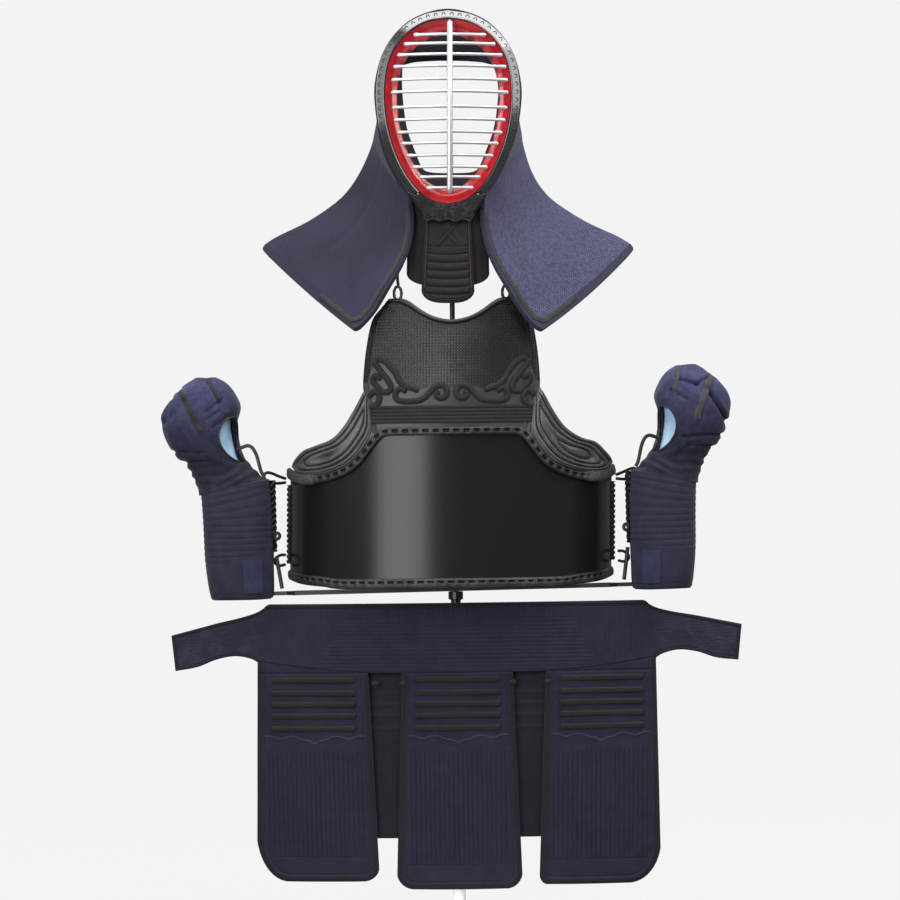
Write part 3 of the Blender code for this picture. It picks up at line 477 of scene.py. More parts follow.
SHELF_HEIGHT = 0.507
SHELF_LEAN = radians(0.8)
SHELF_X = -0.005
MEN_PIVOT = 1.200
MEN_TURN = radians(0.7)
MEN_X = -0.0025
MEN_CLOTH = 0.007
CORNER_SIZE = 0.009
CROSS_Z = 1.0068
STITCH_GAP = 0.0112
CHANNEL_HEIGHTS = (0.978, 0.9665, 0.955, 0.9435, 0.932, 0.9215)
HEM_SAG = 0.0165
HEM_SAG_LEAN = 0.21
SHOULDER_SHIFT = -0.0036
SHOULDER_Z, SHOULDER_REACH = 1.085, 0.095
FACE_FRONT = -0.055
FACE_MIDDLE = 1.187
GRILLE_RISE = 0.130
GRILLE_BULGE = 0.020
GRILLE_X = 0.0026
DO_HALF_WIDTH = 0.236
DO_DEPTH = 0.165
DO_SIDE_Y = 0.084
DO_X = -0.007
DO_LEAN = 0.016
DO_FOOT = 0.510
BARREL_THICK = 0.0035
DO_CORD_RADIUS = 0.0022
CHEST_BOTTOM = 0.727
CHEST_THICK = 0.0034
LOOP_X, LOOP_Z = 0.0760, 0.9235
RIM_WIDTH = 0.0115
HEM_WIDTH = 0.0145
KOTE_X = 0.300
KOTE_DROP = 0.003
KOTE_WIDE = {"left": 1.0, "right": 0.95}
KOTE_WALL = 0.008
CUFF_WALL = 0.006
CUFF_TOP = 0.143
CUFF_TOP_SLANT = 0.020
SLIT_HALF_ANGLE = radians(15)
TARE_X = 0.0005
TARE_FRONT = -0.0280
TARE_CURVE = 0.018
TARE_HALF = 0.280
BELT_TOP = 0.4855
BELT_BOTTOM = 0.3870
BELT_THICK = 0.012
PANEL_THICK = 0.009
INNER_THICK = 0.0075
INNER_BOTTOM = 0.151
STRAP_TIP_LIFT = 0.0035
SEAM = 0.0004
PAD_RIB = 0.0066
SKY = (0.897, 0.897, 0.897, 1)
FLOOR_GLOW = 0.978
SENSOR = 36
CAMERA_AWAY = 4.0
VIEW_WIDTH = 1.287

# The face opening's outline: height, half width.
FACE_OUTLINE = [
    (1050, 0), (1054, 20), (1066, 39), (1090, 58), (1120, 73), (1152, 83), (1185, 88), (1215, 88.5), (1245, 84),
    (1270, 73), (1291, 54), (1305, 29), (1310, 0),
]
# Cross bars of the grille: height, half length.
BAR_ROWS = [
    (1287, 51.5), (1274, 65), (1258.5, 74.5), (1242, 80), (1223.5, 82.5), (1206, 83), (1184.5, 81.5),
    (1167, 79), (1149.5, 74.5), (1134, 69), (1117, 61.5), (1101, 53.5), (1087, 43.5), (1072, 33.5),
]
# The pad's opening behind the grille: height, half width.
PAD_OPENING = [
    (1096, 0), (1096.5, 22), (1099, 35), (1106, 41.5), (1121.5, 48), (1138.5, 54.5), (1154, 60), (1175.5, 64.5),
    (1200, 67.3), (1218, 68.5), (1238, 68.5), (1256, 66), (1262, 55), (1263, 30), (1263, 0),
]
# Men cloth, from the front corner of a flap up to the crown: front x, y, z, rear x, y, z, bulge outward.
CLOTH_SECTIONS = [
    (130, -102, 869, 274, 90, 999, 6), (105, -98, 896, 250, 93, 1015, 8), (85, -93, 930, 203, 97, 1038, 9),
    (69, -84, 958, 161, 100, 1066, 9), (58, -74, 986, 140, 103, 1088, 8), (52, -62, 1020, 124, 108, 1116, 7),
    (55, -55, 1062, 112, 114, 1150, 5), (66, -53, 1079, 108, 118, 1172, 6), (82, -53, 1108, 103, 120, 1196, 4),
    (95, -53, 1142, 96, 120, 1218, 4), (103, -53, 1196, 86, 120, 1246, 5), (101, -53, 1230, 74, 120, 1271, 6),
    (91, -52, 1264, 56, 120, 1279, 7), (72, -52, 1293, 37, 120, 1281, 8), (43, -52, 1315, 19, 120, 1281.5, 9),
    (0, -52, 1325.5, 0, 120, 1281.5, 10),
]
# Chest plate: height, half width.
CHEST_SIDES = [
    (727, 110), (748, 115), (766, 118), (790, 123), (814, 122.5), (851, 118.5), (886, 111), (904, 98),
    (915, 88),
]
# Chest plate's neck line: distance from the middle, height.
CHEST_NECK = [(0, 886), (17, 889.5), (35, 899), (53, 910), (70, 916.5), (88, 916.5)]
# Lower edge of the laced top rim: distance from the middle, height.
RIM_LINE = [
    (0, 724), (60, 724), (90, 723.5), (101, 717), (115, 698.5), (131, 680.4), (151, 668), (176, 660),
    (202, 658), (223, 662), (233, 667),
]
# Barrel's lower edge: distance from the middle, height.
HEM_LINE = [(0, 509), (80, 508.5), (156, 508), (180, 510.6), (200, 511.8), (218, 514), (233, 518.5)]
# Shoulder pads, inner and outer edge from the top end down: distance from the middle, height.
PAD_INNER = [
    (119, 774), (115.5, 756), (112.5, 732), (120.2, 713.8), (137, 692.5), (155.3, 680.5), (180, 672.8),
    (205, 671.4), (219, 674.8),
]
PAD_OUTER = {
    "left": [
        (125.5, 790), (129, 779), (137, 759), (150.5, 737), (167, 720.5), (191, 711), (207.5, 704.5),
        (220, 692), (225, 682),
    ],
    "right": [
        (126.5, 792), (132.5, 779), (142, 757), (158, 734.5), (180, 719.5), (202, 712.5), (216, 700),
        (225.5, 689), (228, 681),
    ],
}
# Scroll cords on the chest: distance from the middle, height.
SCROLLS = {
    "long": [(105, 832), (98, 831), (91, 827), (79, 813), (72, 800), (63, 793), (53, 790), (45, 786)],
    "hook": [
        (106, 831), (105, 824), (100, 817), (93, 808), (87, 800), (84, 793), (86, 787), (91, 785), (97, 787),
        (104, 794), (109, 801), (108, 807), (104, 808), (101, 805), (100, 801),
    ],
    "small": [(113, 777), (112.5, 782), (107.5, 786), (101.5, 783), (100, 776), (103, 769), (109, 765.5), (114, 765)],
    "wave": [
        (64, 783), (67, 789), (74, 789), (78, 782), (76, 775), (67, 772), (56, 772), (45, 773), (36, 778),
        (28, 787), (20, 793), (11, 793), (6, 785), (9, 778), (15, 776), (20, 778), (21, 782), (17, 786),
    ],
}
# Upper edge of the smooth leather the scrolls are sewn on: distance from the middle, height.
GROUND_TOP = [
    (0, 790), (17, 799), (30, 794), (45, 790), (63, 797), (79, 817), (95, 834), (103, 832), (110, 822), (118, 800),
]
# Fist: height above the shelf, inner x, outer x, half depth, all from the cuff's middle.
FIST_SECTIONS = [
    (150, -43, 58, 40), (165, -37, 63, 38), (182, -19, 70, 37), (198, -6, 88, 44), (219, 0, 101, 50),
    (244, 0, 108, 53), (268, -4, 104, 51), (288, 3, 89, 44), (302, 15, 73, 31), (311, 29, 59, 15),
]
# Cuff: height above the shelf, inner x, outer x, half depth.
CUFF_SECTIONS = [
    (-6, -43, 43, 38), (4, -46, 47, 42), (40, -47, 51, 43), (95, -47, 53, 43), (120, -46, 54, 42),
    (144, -44, 55, 41),
]
# Belt strap, from the belt outward: x, top z, bottom z.
STRAP_ROWS = [
    (284, 482, 402), (297, 474, 409), (320, 467, 413), (347, 461, 409), (376, 453.5, 399), (409, 445, 394),
]
# Large panels: side, bottom z, x of the top corners and of the bottom corners, then each lower corner's curve.
PANELS = [
    ("left", 0.0915, (-0.2845, -0.1265, -0.2880, -0.1140), (0.045, 0.072, 0.022, 0.020)),
    ("centre", 0.0796, (-0.0795, 0.0795, -0.0885, 0.0895), (0.024, 0.024, 0.022, 0.024)),
    ("right", 0.0842, (0.1265, 0.2840, 0.1140, 0.2875), (0.011, 0.014, 0.046, 0.060)),
]


# Doubled stitch lines across each flap, as shares of the way from its front edge to its rear edge.
STITCH_PLACES = (0.30, 0.335, 0.62, 0.65)
# The face frame's skirt behind the rim: growth past the outline, place behind the face front, in millimetres.
SKIRT = [(3.2, 1.2), (1.0, 0.6), (-0.5, -1.5), (-0.4, -5.0)]


def tilt(points, turn, centre):
    """Points turned about the Y axis through a centre (x, z)."""
    x = points[..., 0] - centre[0]
    z = points[..., 2] - centre[1]
    turned = [
        centre[0] + x * cos(turn) + z * sin(turn),
        points[..., 1],
        centre[1] - x * sin(turn) + z * cos(turn),
    ]
    return np.stack(turned, axis=-1)


def worn(points):
    """Men points, given upright, as the helmet sits: turned a little and shifted."""
    return tilt(np.array(points, float) + [MEN_X, 0, 0], MEN_TURN, (MEN_X, MEN_PIVOT))


def shelved(points):
    """Kote points, given from the shelf's top, as the leaning shelf carries them."""
    return tilt(np.array(points, float) + [0, 0, SHELF_HEIGHT], -SHELF_LEAN, (0, SHELF_HEIGHT))


# ---------------- men


def egg(table, count, grow, depth):
    """A closed loop on an outline table, grown outward by grow, and its outward directions."""
    half = drawn([(w, 0, z) for z, w in table], count // 2 + 1)
    loop = np.vstack([half, (half * [-1, 1, 1])[-2:0:-1]])
    ahead = np.roll(loop, -1, axis=0) - np.roll(loop, 1, axis=0)
    out = unit(np.stack([ahead[:, 2], 0 * ahead[:, 0], -ahead[:, 0]], axis=1))
    return loop + out * grow + [0, depth, 0], out


def cloth_surface(columns, rows):
    """Men cloth: a quadratic curve from front edge to rear edge at each place between the flaps' corners."""
    half = [list(row) for row in CLOTH_SECTIONS]
    mirrored = [[-r[0], *r[1:3], -r[3], *r[4:]] for r in half[-2::-1]]
    table = drawn(half + mirrored, columns)
    front, rear, bulge = table[:, :3], table[:, 3:6], table[:, 6:]
    out = unit(np.cross(rear - front, np.gradient(front + rear, axis=0)))
    control = (front + rear) / 2 + 2 * bulge * out
    t = np.linspace(-1, 1, columns)
    control[:, 2] -= HEM_SAG * (1 - HEM_SAG_LEAN * t) * np.abs(t) ** 10
    u = np.linspace(0, 1, rows)[:, None, None]
    grid = (1 - u) ** 2 * front + 2 * u * (1 - u) * control + u**2 * rear
    grid[..., 0] += SHOULDER_SHIFT * bump_at(grid[..., 2] - SHOULDER_Z, SHOULDER_REACH)
    normal = grid_normals(grid)
    if normal[0, columns // 2, 2] < 0:
        normal = -normal
    return grid, normal


def rounded_corners(grid, size):
    """The cloth grid with each outer corner of its front edge rounded: points within size of a corner move in.

    A point at shares a and b of size from the two edges moves along its row to the edge 1 - (1 - (1 - b)^2)^0.5.
    """
    across = path_length(grid[:, 0])
    share = np.clip(1 - across / size, 0, 1)
    far = np.clip(1 - (across[-1] - across) / size, 0, 1)
    inset = size * (1 - np.sqrt(1 - 0.98 * np.maximum(share, far) ** 2))
    along = path_length(grid[0])
    near = np.clip(1 - along / (3 * size), 0, 1) ** 2
    shift = inset[:, None] * (near - near[::-1])[None]
    ahead = unit(np.gradient(grid, axis=1))
    return grid + ahead * shift[..., None]


def make_men(finishes):
    """Helmet: cloth, edge braids, laced rim, face frame, grille, pad, chin piece and throat flaps."""
    columns, rows = 641, 101
    grid, out = cloth_surface(columns, rows)
    chart = grid_lengths(grid)
    along, across = chart[..., 0], chart[..., 1]
    total = along.max()
    from_hem = np.minimum(along, total - along)
    share = across / across.max()
    flap = step_up(0.30 - from_hem, 0.02, 0.12)
    lift = 0.0010 * bump_at(across - 0.0026, 0.0026) + 0.0008 * bump_at(from_hem - 0.003, 0.003)
    lift -= 0.0006 * bump_at(across - 0.0056, 0.0007) * flap + 0.0005 * bump_at(from_hem - 0.0125, 0.0008)
    for place in STITCH_PLACES:
        lift -= 0.0007 * bump_at(share - place, 0.010) * flap * np.where(along > total / 2, 1.0, 0.12)
    lift += 0.0016 * np.sin(along / 0.061 + 2 * share) * share * (1 - share)
    rounded = rounded_corners(grid, CORNER_SIZE)
    outer = worn(rounded + out * lift[..., None])
    inner = worn(rounded - out * (MEN_CLOTH - 0.0006))
    right = (along > total / 2).astype(float)
    # The rim mark isn't painted: it keeps the cloth's rows close together behind the face's rim.
    marks = {
        "hem": step_up(0.0125 - from_hem, 0, 0.0008) + step_up(0.0052 - across, 0, 0.0006),
        # The left mark carries painted shade: the finish paints the cloth's left side darker.
        "left": 1 - step_up(total - along, 0.50 * total, 0.60 * total),
        "stitch": sum(bump_at(share - place, 0.008) for place in STITCH_PLACES) * flap * right,
        "rim": bump_at(across - 0.010, 0.010) * (1 - flap),
    }
    cloth = wall("men_cloth_quilted", outer, inner, finishes["men_cloth"], uv=chart, marks=marks)
    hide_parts("men_cloth")

    fine, normal = cloth_surface(961, 81)
    for side, sign in SIDES:
        picked = np.arange(192, 7, -2) if sign > 0 else np.arange(768, 953, 2)
        edge, way = fine[:, picked], normal[:, picked]
        depth = path_length(edge[:, 0])
        row = int(np.searchsorted(depth, 0.0062))
        turn = picked[-1]
        hem = slice(row + 3, int(np.searchsorted(path_length(fine[:, turn]), 0.104)))
        line = smooth_line(np.vstack([edge[row, :-3:4], fine[hem, turn][::4]]), 520)
        lean_out = smooth_line(np.vstack([way[row, :-3:4], normal[hem, turn][::4]]), 520)
        rings = braid_rings(worn(line), worn_way(unit(lean_out)), 0.0078, 0.0004, 0.0028, 0.0036)
        strip = many(f"men_edge_braid_{side}", [rings], finishes["edge_braid"], 60)
        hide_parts(f"men_braid_{side}")
    make_rim(finishes)
    make_face(finishes)
    make_grille(finishes)
    make_throat(finishes)


def worn_way(directions):
    """Directions on the men, turned as the helmet is."""
    return tilt(directions, MEN_TURN, (0, 0))


def braid_rings(path, out, width, low, high, pitch):
    """A flat herringbone braid: rings of a domed section whose ridges slant from its middle to each edge.

    Height is low + (high - low) (1 - |x|^2.5)^0.5 times 1 less a wave of distance along plus distance across.
    """
    steps = int(path_length(path)[-1] / (pitch / 5)) + 2
    both = smooth_line(np.hstack([path, out]), steps)
    path, out = both[:, :3], unit(both[:, 3:])
    x = np.linspace(1, -1, 11)
    along = path_length(path)[:, None]
    wave = 0.5 - 0.5 * np.cos(2 * pi * (along / pitch + 0.9 * np.abs(x)))
    dome = (1 - np.abs(x) ** 2.5) ** 0.5
    dome[[0, -1]] = 0.25
    high_line = low + (high - low) * dome * (1 - 0.32 * wave)
    side = x * width / 2 * (1 + 0.04 * wave)
    top = np.stack([side, high_line], axis=2)
    base = np.broadcast_to([(-width / 2, low), (width / 2, low)], (len(path), 2, 2))
    return sweep_rings(path, out, np.concatenate([top, base], axis=1))


def make_rim(finishes):
    """Lacquered rim round the face: a beaded inner edge, a band that slopes back, and V stitches near its edge."""
    loop, out = egg(FACE_OUTLINE, 720, 0.0065, FACE_FRONT - 0.001)
    keep = loop[:, 2] > 1.062
    first = np.argmax(keep & ~np.roll(keep, 1))
    loop, out = (np.roll(line, -first, axis=0)[: keep.sum()] for line in (loop, out))
    section = np.array(
        [
            (6.4, 0.2), (6.5, 6.0), (6.2, 7.8), (5.4, 8.6), (4.4, 8.8), (3.6, 8.3), (3.2, 7.9), (1.5, 6.58),
            (0.0, 5.41), (-1.6, 4.16), (-3.2, 2.92), (-4.6, 1.82), (-5.4, 1.2), (-6.2, 0.7), (-6.2, 0.2),
        ]
    )
    rings = sweep_rings(worn(loop), worn_way(forward(len(loop))), section * MM)
    rim = many("men_laced_rim", [rings], finishes["rim_leather"], 50)
    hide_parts("men_rim")
    length = path_length(loop)
    stitches = []
    levels = [(4.4, 0.0088), (3.2, 0.0079), (0.0, 0.0054), (-5.4, 0.0012)]
    for start in np.arange(0.012, length[-1] - 0.012, STITCH_GAP):
        for lean in (-1, 1):
            ends = []
            for step in np.linspace(0, 1, 5):
                at = start + lean * 0.0022 * (1 - step) + 0.0004 * lean
                spot = np.array([np.interp(at, length, line) for line in loop.T])
                way = unit(np.array([np.interp(at, length, line) for line in out.T]))
                place = 0.0008 + 0.0036 * step
                depth = np.interp(place, [-x * MM for x, _ in levels], [y for _, y in levels])
                ends.append(spot + way * place + [0, -depth - 0.0003 * sin(pi * step), 0])
            stitches.append(sweep_rings(worn(ends), forward(5), circle(0.00068, 6)))
    many("men_rim_stitches", stitches, finishes["stitch"], 80)

    staples = []
    bow = np.linspace(0, pi, 7)
    for sign in (-1, 1):
        for step in range(3):
            spot = [sign * (0.0470 + 0.0042 * step), FACE_FRONT - 0.012, 1.0600 + 0.0024 * step]
            line = spot + np.stack([-0.0013 * np.cos(bow), -0.0016 * np.sin(bow), 0 * bow], axis=1)
            staples.append(sweep_rings(worn(line), np.tile([0.0, 0, 1.0], (7, 1)), circle(0.0007, 6)))
    many("men_rim_staples", staples, finishes["rim_leather"], 80)


def make_face(finishes):
    """Red face frame, a rolled lip falling back to its inner edge, and the padded ring behind it."""
    count = 240
    outer, _ = egg(FACE_OUTLINE, count, -0.0004, FACE_FRONT - 0.008)
    middle = np.array([0, 0, FACE_MIDDLE])
    inner = (outer - middle) * [0.81, 1, 0.84] + middle + [0, 0.020, 0]
    v = np.linspace(0, 1, 15)[:, None, None]
    dish = outer * (1 - v) + inner * v
    lip = -0.0018 * bump_at(v[:, 0, 0], 0.14) + 0.0030 * np.sin(pi * v[:, 0, 0]) ** 2
    dish = dish + along_y(lip)[:, None]
    skirt = np.stack([egg(FACE_OUTLINE, count, grow * MM, FACE_FRONT + off * MM)[0] for grow, off in SKIRT])
    dish = np.concatenate([skirt, dish])
    back = dish + [0, 0.003, 0]
    back[: len(SKIRT)] = skirt + [0, 0.0012, 0]
    share = np.concatenate([np.zeros(len(SKIRT)), np.linspace(0, 1, 15)])[:, None]
    # Painted shade: dark teeth round the inner part of the red dish, for the shadows of the bars.
    painted_shade_teeth = step_up(share, 0.62, 0.78) * step_up(np.sin(np.arange(count) * 2 * pi * 30 / count), -0.2, 0.4)
    marks, finish = {"painted_shade_teeth": painted_shade_teeth}, finishes["red_lacquer"]
    frame = wall("men_face_dish", worn(dish), worn(back), finish, ring=True, marks=marks)
    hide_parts("men_face_frame")

    outer, _ = egg(FACE_OUTLINE, count, -0.0065, FACE_FRONT + 0.018)
    hole = egg(PAD_OPENING, count, 0, FACE_FRONT + 0.024)[0] + [0.0034, 0, 0]
    share = np.linspace(0, 1, 11)[:, None, None]
    flat = outer * (1 - share) + hole * share
    pad = flat + along_y(-0.0065 * np.sin(pi * share[:, :, 0]) ** 0.8)
    back = flat + [0, 0.0095, 0]
    ring = wall("men_face_padding", worn(pad), worn(back), finishes["face_cloth"], ring=True)
    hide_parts("men_face_pad")


def bar_rings(line, tall, deep, sides, power=1.0):
    """Rings of a bar whose section is an ellipse, squared off by a power under 1, with its own size at each point."""
    angle = np.arange(sides) * 2 * pi / sides
    c, s = np.cos(angle), np.sin(angle)
    c, s = np.sign(c) * np.abs(c) ** power, np.sign(s) * np.abs(s) ** power
    ring = np.stack([tall[:, None] * c, deep[:, None] * s], axis=2)
    return sweep_rings(worn(line), forward(len(line)), ring)


def make_grille(finishes):
    """An upright bar and fourteen cross bars, bowed forward, each ending in a flattened spoon on the frame."""
    bars = []
    for z, half in np.array(BAR_ROWS) * MM:
        bow = 1 - ((z - FACE_MIDDLE) / GRILLE_RISE) ** 2
        u = np.sin(np.linspace(-pi / 2, pi / 2, 45))
        x = u * half + GRILLE_X
        y = FACE_FRONT - 0.0090 - GRILLE_BULGE * bow * (1 - u**2)
        line = np.stack([x, y, z + 0 * x], axis=1)
        to_end = half * (1 - np.abs(u))
        round_off = rounding(to_end, 0.0026, 0.03)
        spoon = 1 + 0.30 * bump_at(to_end - 0.0035, 0.009)
        bars.append(bar_rings(line, 0.00225 * spoon * round_off, 0.0024 * round_off, 12))
    z = np.linspace(FACE_MIDDLE - GRILLE_RISE + 0.006, FACE_MIDDLE + GRILLE_RISE - 0.009, 65)
    bow = np.clip(1 - ((z - FACE_MIDDLE) / GRILLE_RISE) ** 2, 0, 1)
    line = np.stack([GRILLE_X + 0 * z, FACE_FRONT - 0.0100 - GRILLE_BULGE * bow, z], axis=1)
    to_end = np.minimum(z - z[0], z[-1] - z)
    round_off = rounding(to_end, 0.0016, 0.05)
    bars.append(bar_rings(line, 0.0040 * round_off, 0.0030 * round_off, 16, 0.9))
    grille = many("men_bars", bars, finishes["bar_metal"], 50)
    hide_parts("men_grille")


def flap(top_half, low_half, top, bottom, front, sag, rows, columns):
    """A hanging flap: x grows down its height, its foot is rounded and its middle is bowed forward by sag."""
    u = np.linspace(-1, 1, columns)
    v = np.linspace(0, 1, rows)[:, None]
    low = bottom + 0.020 * (1 - np.sqrt(1 - 0.98 * np.abs(u) ** 3))
    z = top + (low - top) * v
    x = u * (top_half + (low_half - top_half) * v)
    y = front + sag * (u**2 - 1) * np.ones_like(v)
    return np.stack([x, y, z], axis=2), u * np.ones_like(v), v * np.ones_like(u)


def make_throat(finishes):
    """Chin piece with a scalloped edge, and two throat flaps: one plain, one with sewn channels and a cross."""
    x = np.linspace(-0.052, 0.052, 105)
    u = x / 0.052
    top = np.minimum(1.0498 + 0.0145 * (x / 0.039) ** 2, 1.0625)
    low = 1.024 + 0.0016 * np.cos(5 * pi * u) + 0.034 * np.clip((np.abs(x) - 0.030) / 0.022, 0, 1) ** 1.3
    v = np.linspace(0, 1, 31)[:, None]
    z = top + (low - top) * v
    y = FACE_FRONT - 0.014 + 0.003 * u**2 - 0.004 * v - 0.0012 * np.sin(pi * v) ** 0.7
    y = y - 0.0011 * bump_at(z - low - 0.0016, 0.0016) + 0.0006 * bump_at(z - low - 0.0042, 0.0012)
    grid = np.stack([np.broadcast_to(x, z.shape), y, z], axis=2)
    back = grid.copy()
    back[..., 1] = FACE_FRONT - 0.010 + 0.003 * u**2 - 0.003 * v
    chin = wall("men_chin_leather", worn(grid), worn(back), finishes["chin_leather"])
    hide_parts("men_chin_piece")

    grid, u, v = flap(0.0565, 0.0585, 1.058, 0.934, FACE_FRONT + 0.011, 0.006, 91, 61)
    edge = (1 - np.abs(u)) * 0.052
    swell = 0.0016 * np.clip(edge / 0.004, 0, 1) ** 0.5 - 0.0011 * bump_at(edge - 0.0062, 0.0016)
    grid[..., 1] -= swell
    back = grid.copy()
    back[..., 1] += 0.0078
    inner = wall("men_throat_pad_inner", worn(grid), worn(back), finishes["throat_cloth"])
    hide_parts("men_throat_flap_inner")

    grid, u, v = flap(0.031, 0.0375, 1.040, 0.910, FACE_FRONT - 0.003, 0.006, 221, 121)
    x, z = grid[..., 0], grid[..., 2]
    edge = (1 - np.abs(u)) * 0.036
    foot = (1 - v) * 0.128
    rim = np.minimum(edge, foot)
    swell = 0.0018 * np.clip(rim / 0.004, 0, 1) ** 0.5 - 0.0013 * bump_at(rim - 0.0055, 0.0015)
    inside = step_up(edge, 0.0050, 0.0070)
    curve = 0.0035 * u**2
    for height in CHANNEL_HEIGHTS:
        swell -= 0.0017 * bump_at(z - height - curve, 0.0022) * inside * step_up(foot, 0.004, 0.006)
        swell += 0.0011 * bump_at(z - height + 0.0055 - curve, 0.0055) * inside
    for height in (0.990, 1.0235):
        swell -= 0.0012 * bump_at(z - height, 0.0014) * inside
    from_cross = z - CROSS_Z
    crossed = inside * step_up(0.0150 - np.abs(from_cross), 0, 0.002)
    for sign in (-1, 1):
        off = from_cross - sign * x * 1.12
        swell += 0.0018 * bump_at(off, 0.0032) * crossed
        swell -= 0.0010 * bump_at(off - 0.0060, 0.0012) * crossed
    grid[..., 1] -= swell
    back = grid.copy()
    back[..., 1] = FACE_FRONT - 0.003 + 0.006 * (u**2 - 1) + 0.0072
    outer = wall("men_throat_pad_outer", worn(grid), worn(back), finishes["throat_cloth"])
    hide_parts("men_throat_flap_outer")
    beads = []
    for column in (6, -7):
        picked = grid[20:200:2, column] + [0, -0.0004, 0]
        beads.append(sweep_rings(worn(picked), forward(len(picked)), circle(0.0007, 6)))
    many("men_throat_piping", beads, finishes["piping"], 80)


# ---------------- do


def do_wall(x, z, off=0.0):
    """Points off the chest armour's curved front at distances x from its middle, and their outward normals.

    The front is half an ellipse across, the same at every height, and leans a little sideways as it rises.
    """
    across = np.clip(x / DO_HALF_WIDTH, -0.9995, 0.9995)
    depth = np.sqrt(1 - across**2)
    middle = DO_X + DO_LEAN * (z - DO_FOOT)
    points = np.stack([x + middle, DO_SIDE_Y - DO_DEPTH * depth, z * np.ones_like(x)], axis=-1)
    out = unit(np.stack([across / DO_HALF_WIDTH, -depth / DO_DEPTH, 0 * z * x], axis=-1))
    return points + out * np.asarray(off)[..., None], out


def both_ways(rows, count):
    """A smooth line through the rows and their mirror image, from -x to +x, in metres."""
    return drawn([(-x, z) for x, z in rows[:0:-1]] + rows, count)


def line_up(line):
    """The upward side of a flat line of (x, z)."""
    ahead = np.gradient(line, axis=0)
    return unit(np.stack([-ahead[:, 1], ahead[:, 0]], axis=1))


def make_do(finishes):
    """Chest armour: barrel, laced rims, chest plate with its scroll cords, ridged band, pads, side lacing, loops."""
    line = both_ways(RIM_LINE, 361)
    hem = both_ways(HEM_LINE, 600)
    bottom = np.interp(line[:, 0], hem[:, 0], hem[:, 1])
    v = np.linspace(0, 1, 9)[:, None]
    z = bottom + (line[:, 1] + 0.010 - bottom) * v
    x = np.broadcast_to(line[:, 0], z.shape)
    front, back = do_wall(x, z)[0], do_wall(x, z, -BARREL_THICK)[0]
    barrel = wall("do_lacquered_barrel", front, back, finishes["black_lacquer"], sharp=30)
    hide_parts("do_barrel")
    make_laced_rims(finishes)
    make_chest(finishes)
    make_pads(finishes)
    make_do_sides(finishes)


def make_laced_rims(finishes):
    """Leather rims: a domed strip with a channel where the lacing shows between slots, creased at its ends."""
    for name, node, table, width, low, high, gap, lane, slit, creases in (
        ("do_upper_rim_leather", "do_top_rim", RIM_LINE, RIM_WIDTH, 0.0034, 0.0078, 0.0142, 0.0006, 0.0030, 0.085),
        ("do_lower_rim_leather", "do_bottom_rim", HEM_LINE, HEM_WIDTH, 0.0004, 0.0048, 0.0142, 0.0020, 0.0021, 0.045),
    ):
        line = both_ways(table, 901)
        middle = line + line_up(line) * (width / 2)
        points, out = do_wall(middle[:, 0], middle[:, 1])
        length = path_length(points)
        across = np.linspace(1, -1, 25)
        place = across * width / 2
        dome = np.clip(1 - np.abs(across) ** 2.6, 0, 1) ** 0.5
        phase = length / gap
        slot = step_up(0.32 - np.abs(phase - np.round(phase)), 0, 0.09)
        laced = step_up(from_ends(length), creases - 0.02, creases)
        puff = (0.5 + 0.5 * np.cos(2 * pi * (phase - 0.5))) * laced
        lift = low + (high - low) * (0.25 + 0.75 * dome)[None] * (0.86 + 0.14 * puff[:, None])
        channel = bump_at(place - lane, slit)[None] ** 0.6
        lift = lift - channel * (laced * (0.0004 + 0.0030 * slot))[:, None]
        creased = (1 - laced)[:, None]
        wander = 2.5 * np.sin(place / 0.004)[None] + 1.3 * np.sin(length / 0.0049)[:, None]
        folds = np.sin(length[:, None] / 0.00072 + wander) + 0.6 * np.sin(length[:, None] / 0.00113 - 1.7 * wander)
        lift += creased * (0.0009 * dome[None] + 0.00034 * folds * dome[None])
        wider = 1 + 0.42 * creased * (node == "do_top_rim")
        top = np.stack([place * wider, lift], axis=2)
        base = np.array([(-width / 2, low), (width / 2, low)]) * np.stack([wider, 1 + 0 * wider], axis=2)
        section = np.concatenate([top, base], axis=1)
        rings = sweep_rings(points, out, section)
        marks = np.zeros(section.shape[:2])
        marks[:, :25] = channel * (slot * laced)[:, None]
        ends = np.broadcast_to(creased, marks.shape)
        marks = {"slots": np.append(marks.ravel(), [0, 0]), "ends": np.append(ends.ravel(), [1, 1])}
        points, groups = tube_points(rings, False), tube_groups(rings, False)
        rim = build(name, points, groups, finishes["laced_leather"], 60, marks)
        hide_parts(node)


def scroll_ground(x, z):
    """1 on the smooth leather between and below the scrolls, falling to 0 above its wavy upper edge."""
    top = drawn(GROUND_TOP, 120)
    return step_up(np.interp(np.abs(x), top[:, 0], top[:, 1]) - z, 0, 0.0016)


